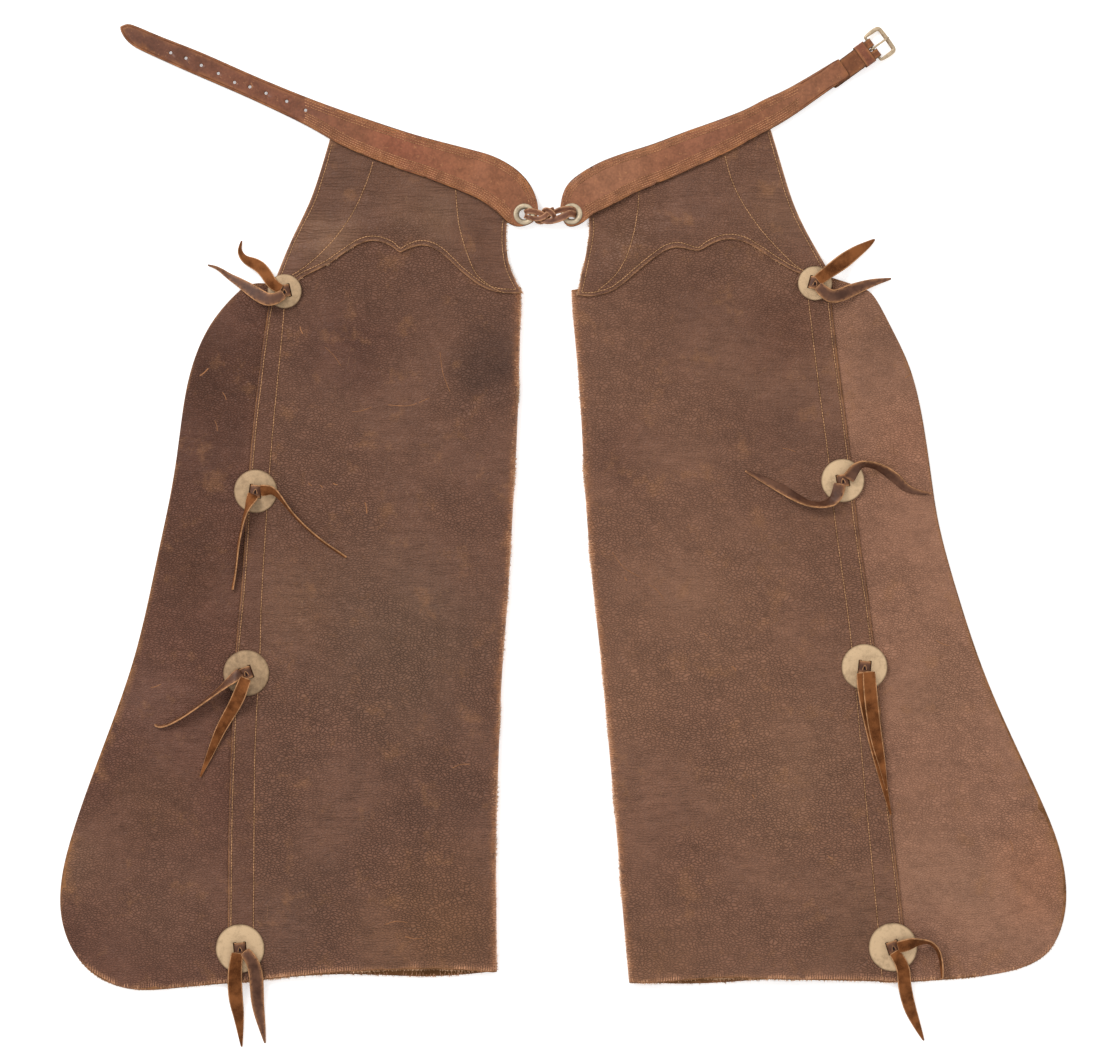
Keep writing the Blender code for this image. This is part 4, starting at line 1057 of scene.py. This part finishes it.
def edgeTicks(side):
    toward = -1 if side == "Left" else 1
    shapes = []
    for edge in ("legHem", "wingHem", "legFold"):
        values = tickValues[edge]
        tree = trees[values["part"] + side]
        fold = edge == "legFold"
        start, depth = tickValues["foldSearch" if fold else "hemSearch"]

        def place(along, inward, aside=0.0):
            if fold:
                return Vector((toward * (start + inward), along + aside))
            return Vector((toward * along + aside, start + inward))

        along, end = values["ends"]
        while along < end:
            along += random.uniform(*values["gap"]) * mm
            if fold:
                patch = noise.noise(Vector((along * 16, side == "Left", 7))) + 0.25
            else:
                more = 0.55 if 0.19 < along < 0.26 else 0.25
                patch = noise.noise(Vector((along * 18, side == "Left", 5))) + more
            if random.random() > patch * values["density"]:
                continue
            inward = 0.0
            while inward < depth and topOf(tree, *place(along, inward)) is None:
                inward += tickValues["searchStep"] * mm
            lean = random.uniform(-tickValues["lean"], tickValues["lean"])
            reach = random.uniform(*values["reach"]) * mm
            line = [place(along, inward + reach * t, lean * reach * t) for t in (0.03, 0.35, 0.7, 1)]
            shapes += ribbon(line, tree, random.uniform(*tickValues["width"]))
    return shapes


print("fibres")
for side in ("Left", "Right"):
    toward = 1 if side == "Left" else -1

    def hemWeight(centre, normal, index):
        if index != 2 or normal.y > -0.5:
            return 0
        patch = noise.noise(Vector((centre.x * 30, centre.y * 30, 3))) + 0.55
        return max(patch, 0.05) ** 2

    def foldWeight(centre, normal, index):
        if index != 0 or normal.x * toward < 0.55:
            return 0
        patch = noise.noise(Vector((centre.y * 22, side == "Left", 9))) + 0.25
        return max(patch, 0.02) ** 2

    def yokeWeight(centre, normal, index):
        if index != 2 or normal.x * toward < 0.5:
            return 0
        patch = noise.noise(Vector((centre.y * 40, 4, 1))) + 0.4
        return max(patch, 0.05) ** 2

    shapes = fray(panels["leg" + side], hemWeight, *fibreValues["legHem"])
    shapes += fray(panels["yoke" + side], yokeWeight, *fibreValues["yokeEdge"])
    shapes += fray(panels["leg" + side], foldWeight, *fibreValues["legFold"], 0.4)
    shapes += fray(panels["wing" + side], hemWeight, *fibreValues["wingHem"])
    settled(joined("looseFibres" + side, shapes, "fibre"), "chaps")
    marked("edgeTicks" + side, edgeTicks(side), "tick")

# Scuffs on the grain, as x1, y1, x2, y2 in the photograph and width in mm
scuffValues = {
    "Left": {
        "leg": ((365, 502, 367, 514, 1.3), (308, 483, 312, 486, 1.1), (320, 485, 323, 488, 1.0),
                (333, 483, 338, 485, 1.1), (325, 347, 341, 366, 0.5), (388, 405, 430, 398, 0.7),
                (440, 352, 450, 392, 0.6), (300, 326, 303, 334, 1.2), (385, 924, 408, 922, 0.8),
                (405, 936, 424, 938, 0.8), (452, 768, 470, 764, 0.7), (352, 412, 372, 407, 0.6)),
        "wing": ((199, 376, 208, 368, 1.5), (222, 392, 226, 400, 0.9), (150, 688, 161, 684, 0.8),
                 (214, 420, 217, 431, 0.7))},
    "Right": {
        "leg": ((624, 575, 627, 581, 1.1), (612, 552, 640, 577, 0.6), (648, 584, 664, 600, 0.5),
                (731, 666, 736, 671, 1.3), (752, 794, 754, 799, 1.0), (828, 856, 832, 858, 1.0),
                (700, 632, 712, 640, 0.5), (782, 448, 796, 452, 0.6)),
        "wing": ((905, 378, 912, 372, 0.8), (936, 640, 950, 646, 0.7), (1010, 840, 1013, 852, 0.8))},
}
for side in ("Left", "Right"):
    for part, scuffs in scuffValues[side].items():
        marks = []
        for x1, y1, x2, y2, width in scuffs:
            start, end = fromPhoto(x1, y1), fromPhoto(x2, y2)
            middle = (start + end) / 2 + (end - start).orthogonal() * random.uniform(-0.1, 0.1)
            marks += ribbon(throughPoints([start, middle, end], 1.1 * mm), trees[part + side], width)
        marked(part + "Scuffs" + side, marks, "scuff")

# Conchos: a dished disc with two slots, in mm. The rim is rows of a share of the radius and a height, and
# the dome rises over the next shares; turns are in degrees and polish a share, both from the top down
conchoValues = {
    "rise": 2.4, "rimHeight": 0.85, "seat": 0.25, "sides": 64, "bevel": 0.2,
    "slotSpacing": 11.0, "slotWidth": 3.6, "slotLength": 15.0, "slotDepth": 12, "slotBevel": 0.7,
    "rim": ((0.2, 0.5), (0.9, 0.1), (0.975, 0.0), (0.998, 0.18), (1, 0.45), (0.985, 0.72)),
    "dome": (0.96, 0.92, 0.86, 0.78, 0.68, 0.56, 0.42, 0.26, 0.1),
    "turns": {"left": (12, -8, 20, 5), "right": (-15, 10, -6, 18)},
    "polish": {"left": (0.35, 0.3, 0.0, 0.95), "right": (0.75, 1.0, 1.0, 1.0)},
}


def ringed(name, centre, rows, sides, closed):
    # a circle extruded and scaled through rows of radius and height, in metres
    bpy.ops.object.select_all(action="DESELECT")
    bpy.ops.mesh.primitive_circle_add(vertices=sides, radius=rows[0][0],
                                      location=(centre.x, centre.y, centre.z + rows[0][1]))
    piece = bpy.context.object
    piece.name = name
    bpy.ops.object.mode_set(mode="EDIT")
    bpy.ops.mesh.select_all(action="SELECT")
    for (oldRadius, oldHeight), (radius, height) in zip(rows, rows[1:]):
        bpy.ops.mesh.extrude_region_move(TRANSFORM_OT_translate={"value": (0, 0, height - oldHeight)})
        factor = radius / oldRadius
        bpy.ops.transform.resize(value=(factor, factor, 1), center_override=(centre.x, centre.y, centre.z))
    bpy.ops.mesh.select_all(action="DESELECT")
    bpy.ops.mesh.select_mode(type="EDGE")
    bpy.ops.mesh.select_non_manifold()
    if closed:
        bpy.ops.mesh.bridge_edge_loops()
    else:
        bpy.ops.mesh.fill_holes(sides=0)
    bpy.ops.mesh.select_all(action="SELECT")
    bpy.ops.mesh.normals_make_consistent(inside=False)
    bpy.ops.object.mode_set(mode="OBJECT")
    bpy.ops.object.transform_apply(location=True, rotation=True, scale=True)
    return piece


def cutSlot(piece, centre, size, turn):
    bpy.ops.object.select_all(action="DESELECT")
    bpy.ops.mesh.primitive_cube_add(size=1, location=centre, rotation=(0, 0, turn))
    cutter = bpy.context.object
    cutter.scale = size
    bpy.ops.object.transform_apply(location=False, rotation=False, scale=True)
    apply(cutter, "BEVEL", {"width": conchoValues["slotBevel"] * mm, "segments": 2})
    apply(piece, "BOOLEAN", {"operation": "DIFFERENCE", "object": cutter})
    bpy.data.objects.remove(cutter)


def smoothed(piece, angle=35):
    active(piece)
    bpy.ops.object.shade_smooth_by_angle(angle=math.radians(angle))


print("conchos")
discs = {}
for side in ("left", "right"):
    for number in range(1, 5):
        node = "concho_%s_%d" % (side, number)
        low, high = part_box(node)
        centre = Vector(((low.x + high.x) / 2, (low.y + high.y) / 2, low.z))
        radius = (high.x - low.x) / 2
        rise = conchoValues["rise"] * mm
        rim = conchoValues["rimHeight"] * mm
        rows = [(radius * share, height * mm) for share, height in conchoValues["rim"]]
        for share in conchoValues["dome"]:
            crown = 1 - (share / conchoValues["dome"][0]) ** 2
            rows.append((radius * share, rim + (rise - rim) * crown))
        name = "concho" + side.capitalize() + str(number)
        disc = ringed(name, centre, rows, conchoValues["sides"], False)
        turn = math.radians(conchoValues["turns"][side][number - 1])
        slot = [conchoValues[key] * mm for key in ("slotWidth", "slotLength", "slotDepth")]
        for sign in (-1, 1):
            reach = sign * conchoValues["slotSpacing"] / 2 * mm
            place = (centre.x + reach * math.cos(turn), centre.y + reach * math.sin(turn), centre.z)
            cutSlot(disc, place, slot, turn)
        apply(disc, "BEVEL", {"width": conchoValues["bevel"] * mm, "segments": 2,
                              "limit_method": "ANGLE", "angle_limit": math.radians(50)})
        smoothed(disc)
        points = coordinates(disc.data)
        away = np.hypot(points[:, 0] - centre.x, points[:, 1] - centre.y) / radius
        slots = np.exp(-((away - 0.3) / 0.16) ** 2)   # darker near the slots, and in a thin ring at the rim with dirt and painted shade
        setAttribute(disc.data, "rimDirtAndShade", np.clip((away - 0.93) / 0.07, 0, 1) + slots * 0.3)
        setAttribute(disc.data, "polish", np.full(len(points), conchoValues["polish"][side][number - 1]))
        disc.data.materials.append(finishes["concho"])
        points[:, 2] += landAt(centre.x, centre.y) + conchoValues["seat"] * mm
        moveTo(disc, points)
        settled(disc, "chaps", [node])
        discs[node] = (centre, radius, turn)

# Thongs: a band over each concho's bridge with a slit in it, and two loose ends. Flat sizes in metres, and
# which side of each loose end faces up, a then b
thongValues = {
    "bandFlat": (0.0136, 0.022), "endWidth": 0.016, "endTurn": 0.007, "endFill": 0.95, "wear": 3,
    "left": (("flesh", "grain"), ("flesh", "flesh"), ("grain", "flesh"), ("flesh", "grain")),
    "right": (("flesh", "grain"), ("grain", "grain"), ("flesh", "flesh"), ("flesh", "flesh")),
}
print("thongs")
for side in ("left", "right"):
    for number in range(1, 5):
        stem = "thong_%s_%d_" % (side, number)
        title = "thong" + side.capitalize() + str(number)
        band = leather(stem + "band", title + "Band", "thongGrain", "thongFlesh", "thongEdge", 3, 0.35, 75)
        setAttribute(band.data, "edgeWear", nearRim(band, thongValues["wear"] * mm))
        settled(band, "chaps", [stem + "band"])
        width, length = thongValues["bandFlat"]
        min(grainArea(band), width * length)
        for letter, up in zip("ab", thongValues[side][number - 1]):
            node = stem + "end_" + letter
            sides = ("thongFlesh", "thongGrain") if up == "flesh" else ("thongGrain", "thongFlesh")
            end = leather(node, title + "End" + letter.upper(), *sides, "thongEdge", 3, 0.35, 76)
            setAttribute(end.data, "edgeWear", nearRim(end, thongValues["wear"] * mm))
            settled(end, "chaps", [node])
            outline = outlineOf(node)
            length = lengthOf(outline + outline[:1]) / 2 - thongValues["endTurn"]
            area = grainArea(end)
            width = max(thongValues["endWidth"], area / length / thongValues["endFill"])

# The slit in each band that the ends come through, with pale lips, in mm
slitValues = {"length": 6.0, "width": 2.4, "lip": 0.8, "bow": 0.4, "step": 0.9, "shade": 2.64}
for side in ("left", "right"):
    for number in range(1, 5):
        centre, radius, turn = discs["concho_%s_%d" % (side, number)]
        title = side.capitalize() + str(number)
        tree = treeOf(bpy.data.objects["thong" + title + "Band"])
        low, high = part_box("thong_%s_%d_band" % (side, number))
        middle = ((low + high) / 2).to_2d()
        down = Vector((math.sin(turn), -math.cos(turn)))
        across = Vector((math.cos(turn), math.sin(turn)))
        length, width, bow, step = (slitValues[key] * mm for key in ("length", "width", "bow", "step"))
        tip = middle - down * length * 0.45
        lips = []
        for sign in (-1, 1):
            corner = middle + down * length * 0.55 + across * sign * width
            lip = [corner, (corner + tip) / 2 + across * sign * bow, tip]
            lips.append(throughPoints(lip if sign < 0 else lip[::-1], step))
        lips = ribbons(lips, tree, slitValues["lip"], (), 0.12)
        marked("slitLips" + title, lips, "thongEdge")
        inner = throughPoints([tip + down * 1.2 * mm, middle + down * length * 0.5], step)
        inner = ribbon(inner, tree, slitValues["shade"], (), 0.08)
        marked("slitShade" + title, inner, "shade")

# Grommets: a rolled eyelet through each belt half. Each row of the profile is a share of a radius, and a
# height in mm from the top or the foot of the CAD grommet
grommetValues = {
    "hole": 5.6, "barrel": 6.1, "flange": 11.8, "sides": 48, "seat": 0.1,
    "profile": (
        ("barrel", 1.02, "top", -0.8), ("flange", 0.97, "top", -0.85), ("flange", 1, "top", -0.6),
        ("flange", 0.98, "top", -0.3), ("flange", 0.92, "top", 0.05), ("flange", 0.84, "top", 0.3),
        ("flange", 0.76, "top", 0.3), ("flange", 0.67, "top", 0.0), ("flange", 0.58, "top", -0.6),
        ("hole", 1.06, "top", -1.4), ("hole", 1, "top", -2.2), ("hole", 1, "foot", 0.9),
        ("hole", 1.06, "foot", 0.3), ("hole", 1.3, "foot", 0.05), ("flange", 0.8, "foot", 0.1),
        ("flange", 0.82, "foot", 0.5), ("barrel", 1.02, "foot", 0.6)),
}
print("grommets")
for side in ("left", "right"):
    node = "grommet_" + side
    low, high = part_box(node)
    centre = Vector(((low.x + high.x) / 2, (low.y + high.y) / 2, 0))
    levels = {"top": high.z, "foot": low.z}
    rows = [(grommetValues[part] * mm * share, levels[level] + height * mm)
            for part, share, level, height in grommetValues["profile"]]
    eyelet = ringed("grommet" + side.capitalize(), centre, rows, grommetValues["sides"], True)
    smoothed(eyelet, 60)
    points = coordinates(eyelet.data)
    away = np.hypot(points[:, 0] - centre.x, points[:, 1] - centre.y) / (grommetValues["flange"] * mm)
    outside = np.clip((away - 0.9) / 0.1, 0, 1)   # darker round the flange's edge, and painted shade on the dished inside and down the hole
    inside = np.clip((0.68 - away) / 0.12, 0, 1)
    setAttribute(eyelet.data, "rimDirtAndShade", outside * 0.5 + inside)
    eyelet.data.materials.append(finishes["grommet"])
    points[:, 2] += landAt(centre.x, centre.y) + grommetValues["seat"] * mm
    moveTo(eyelet, points)
    settled(eyelet, "chaps", [node])

# Lacing: a flat thong looped through both grommets.
# Rows of x, y in the photograph, height and width in mm, roll in degrees
laceValues = {
    "upperLeft": ((524.5, 212.5, 5.0, 5.6, 0), (527.5, 211.5, 9.3, 6.2, 0), (533, 211.5, 9.8, 6.6, 0),
                  (539, 213, 9.4, 6.4, 8), (545, 215.5, 8.2, 6.0, 14), (550, 218.0, 6.2, 5.4, 20)),
    "lowerLeft": ((524.5, 216.0, 4.8, 5.0, 0), (529, 217.6, 9.2, 5.6, -8), (535, 219.0, 9.2, 6.0, -14),
                  (541, 218.4, 9.9, 6.2, -12), (546, 215.5, 10.6, 6.2, -6), (550.5, 211.0, 9.9, 5.8, 4),
                  (554, 208.8, 7.8, 5.0, 16)),
    "wideLoop": ((577.2, 215.0, 1.0, 7.0, 0), (575.4, 214.8, 6.4, 7.4, 0), (572.0, 213.8, 9.6, 7.8, 0),
                 (568.5, 214.2, 10.6, 8.2, 8), (562.5, 217.4, 10.9, 8.6, 14), (556, 220.0, 10.9, 8.2, 14),
                 (549.5, 221.4, 10.5, 7.4, 12), (543.5, 221.0, 8.9, 6.2, 6), (540.0, 219.0, 6.9, 5.0, 0)),
    "upperRight": ((577.6, 211.6, 1.2, 6.4, 0), (576.2, 211.4, 6.6, 6.6, 0), (572.6, 209.8, 9.4, 7.0, 0),
                   (567.5, 209.4, 9.9, 7.4, -10), (561.5, 210.0, 9.5, 7.2, -16),
                   (556.5, 211.4, 8.2, 6.2, -16), (552.5, 213.4, 6.4, 5.2, -10)),
    "wrap": ((543.0, 212.0, 6.6, 5.0, 0), (545.5, 210.2, 9.9, 6.0, 20), (549.5, 211.6, 12.0, 6.6, 10),
             (553.0, 215.0, 12.0, 6.4, 0), (554.5, 218.6, 10.0, 5.6, -10)),
    "tail": ((545.0, 220.0, 6.2, 4.6, 0), (541.5, 222.0, 6.6, 5.6, 8), (537.5, 221.6, 6.4, 5.0, 12),
             (535.0, 220.0, 6.0, 3.0, 10)),
}


# All the strips, in mm: bow is how far a strip's middle stands over its edges, as four lines of points
stripValues = {"thickness": 1.4, "step": 1.2, "bow": 0.9, "columns": (-0.5, -0.17, 0.17, 0.5), "wear": 1.5}


def strip(name, rows, grain, flesh, edge):
    # a flat thong through rows of place, width and roll, its wall added by Solidify
    line = throughPoints([Vector((*fromPhoto(x, y), z * mm, width * mm, math.radians(roll)))
                          for x, y, z, width, roll in rows], stripValues["step"] * mm)
    columns = stripValues["columns"]
    verts = []
    for index, p in enumerate(line):
        ahead = line[min(index + 1, len(line) - 1)]
        behind = line[max(index - 1, 0)]
        along = Vector((ahead - behind)[:3]).normalized()
        flat = Vector((-along.y, along.x, 0))
        flat = flat.normalized() if flat.length > 0.05 else Vector((0, 1, 0))
        across = Matrix.Rotation(p[4], 3, along) @ flat
        for share in columns:
            bow = along.cross(across) * (0.25 - share * share) * -stripValues["bow"] * mm
            verts.append(Vector(p[:3]) + across * share * p[3] + bow)
    count = len(columns)
    faces = []
    for index in range(len(line) - 1):
        for column in range(count - 1):
            a = index * count + column
            faces.append((a, a + count, a + count + 1, a + 1))
    mesh = bpy.data.meshes.new(name)
    mesh.from_pydata([tuple(v) for v in verts], [], faces)
    mesh.shade_smooth()
    piece = newPiece(name, mesh, grain, flesh, edge)
    if sum(p.normal.z for p in mesh.polygons) < 0:
        mesh.flip_normals()
    apply(piece, "SOLIDIFY", {"thickness": stripValues["thickness"] * mm, "offset": 0.0, "material_offset": 1,
                              "material_offset_rim": 2, "edge_crease_rim": 0.0})
    apply(piece, "SUBSURF", {"levels": 1, "render_levels": 1})
    lift(piece)
    return piece


print("lacing")
for name, rows in laceValues.items():
    lace = strip("lace" + name[0].upper() + name[1:], rows, "laceGrain", "thongFlesh", "thongEdge")
    setAttribute(lace.data, "edgeWear", nearRim(lace, stripValues["wear"] * mm))
    settled(lace, "chaps")
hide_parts("belt_lacing")

# Buckle: folded chape and keeper, then wire frame and tongue. Flat sizes in metres, and how much stouter
# the wire is in mm once it is heelReach away from the heel bar, which lies at heel and faces turn degrees
strapPieces = {"buckle_chape": ("buckleChape", (0.023, 0.135)),
               "buckle_keeper": ("buckleKeeper", (0.013, 0.078))}
buckleValues = {"frameSwell": 0.5, "tongueSwell": 0.1, "heelReach": 9.0, "heel": (0.3442, 0.5402),
                "turn": 35.9, "wear": 3}
print("buckle")
for node, (name, (width, length)) in strapPieces.items():
    piece = leather(node, name, name, "flesh", "strapEdge", 3, 0.45)
    near = nearRim(piece, buckleValues["wear"] * mm)
    setAttribute(piece.data, "edgeWear", near)
    setAttribute(piece.data, "burnish", burnished(near, 3, 2.2))
    settled(piece, "chaps", [node])
    min(grainArea(piece), width * length)


def wire(node, name, body, swell):
    # the CAD wire rounded, and stouter away from its heel bar
    shell = mergedShell(node)
    mesh = bpy.data.meshes.new(name)
    shell.to_mesh(mesh)
    shell.free()
    mesh.shade_smooth()
    piece = newPiece(name, mesh, "buckle")
    apply(piece, "SUBSURF", {"levels": 2, "render_levels": 2})
    heel = Vector((*buckleValues["heel"], 0))
    turn = math.radians(buckleValues["turn"])
    out = Vector((math.cos(turn), math.sin(turn), 0))
    up = Vector((0, 0, 1))
    moved = []
    for v in piece.data.vertices:
        share = min(max((v.co - heel).dot(out) / (buckleValues["heelReach"] * mm), 0), 1)
        moved.append(v.co + (v.normal + up) * swell * share * mm)
    for v, place in zip(piece.data.vertices, moved):
        v.co = place
    # an even darkening, and painted shade on the faces that look back toward the heel bar, the inner sides of
    # the bars
    toneAndInnerShade = [0.35 + 0.5 * max(0.0, -v.normal.dot(out)) for v in piece.data.vertices]
    setAttribute(piece.data, "rimDirtAndShade", toneAndInnerShade)
    return settled(piece, body, [node])


wire("buckle_frame", "buckleFrame", "frame", buckleValues["frameSwell"])
wire("buckle_tongue", "buckleTongue", "tongue", buckleValues["tongueSwell"])

# Floor, light and camera
floorValues = {"size": 12, "height": -0.4, "light": (0.93, 0.93, 0.93, 1), "dark": (0.91, 0.91, 0.91, 1),
               "glow": 0.42}
lightValues = {
    "world": 0.68, "worldColour": (1.0, 0.995, 0.985, 1),
    "keyLight": {"place": (-2.6, 2.8, 3.4), "power": 150.0, "size": 2.2},
    "fillLight": {"place": (2.8, -1.6, 4.6), "power": 40.0, "size": 4.0},
}
# The camera is straight above this place of the photograph, in metres over the middle of the part
cameraValues = {"centreX": 550, "centreY": 532, "height": 4.078, "lens": 120, "sensor": 36, "farthest": 20}
print("stage")
bpy.ops.object.select_all(action="DESELECT")
bpy.ops.mesh.primitive_plane_add(size=floorValues["size"], location=(0, 0, floorValues["height"] * mm))
floor = bpy.context.object
floor.name = "floor"
floorFinish, place, plug, bump = newMaterial("paleFloor", {
    "Roughness": 0.9, "Specular IOR Level": 0.1, "Emission Color": (1, 1, 1, 1),
    "Emission Strength": floorValues["glow"]})
plug("Base Color", place.cloud(3, 2).blend(floorValues["dark"], floorValues["light"]))
floor.data.materials.append(floorFinish)
bpy.ops.object.transform_apply(location=True)

world = bpy.data.worlds.new("studio")
bpy.context.scene.world = world
world.use_nodes = True
background = world.node_tree.nodes["Background"]
background.inputs["Color"].default_value = lightValues["worldColour"]
background.inputs["Strength"].default_value = lightValues["world"]


def softLight(name, place, power, size):
    lamp = bpy.data.lights.new(name, "AREA")
    lamp.shape = "SQUARE"
    lamp.size = size
    lamp.energy = power
    made = bpy.data.objects.new(name, lamp)
    made.location = place
    made.rotation_euler = (-Vector(place)).to_track_quat("-Z", "Y").to_euler()   # toward the part
    bpy.context.collection.objects.link(made)


for name in ("keyLight", "fillLight"):
    softLight(name, **lightValues[name])

camera = bpy.data.cameras.new("camera")
camera.type = "PERSP"
camera.lens = cameraValues["lens"]
camera.sensor_width = cameraValues["sensor"]
camera.clip_end = cameraValues["farthest"]
cameraObject = bpy.data.objects.new("camera", camera)
above = fromPhoto(cameraValues["centreX"], cameraValues["centreY"])
cameraObject.location = (above.x, above.y, cameraValues["height"])
bpy.context.collection.objects.link(cameraObject)
bpy.context.scene.camera = cameraObject
bpy.context.scene.view_settings.view_transform = "Standard"
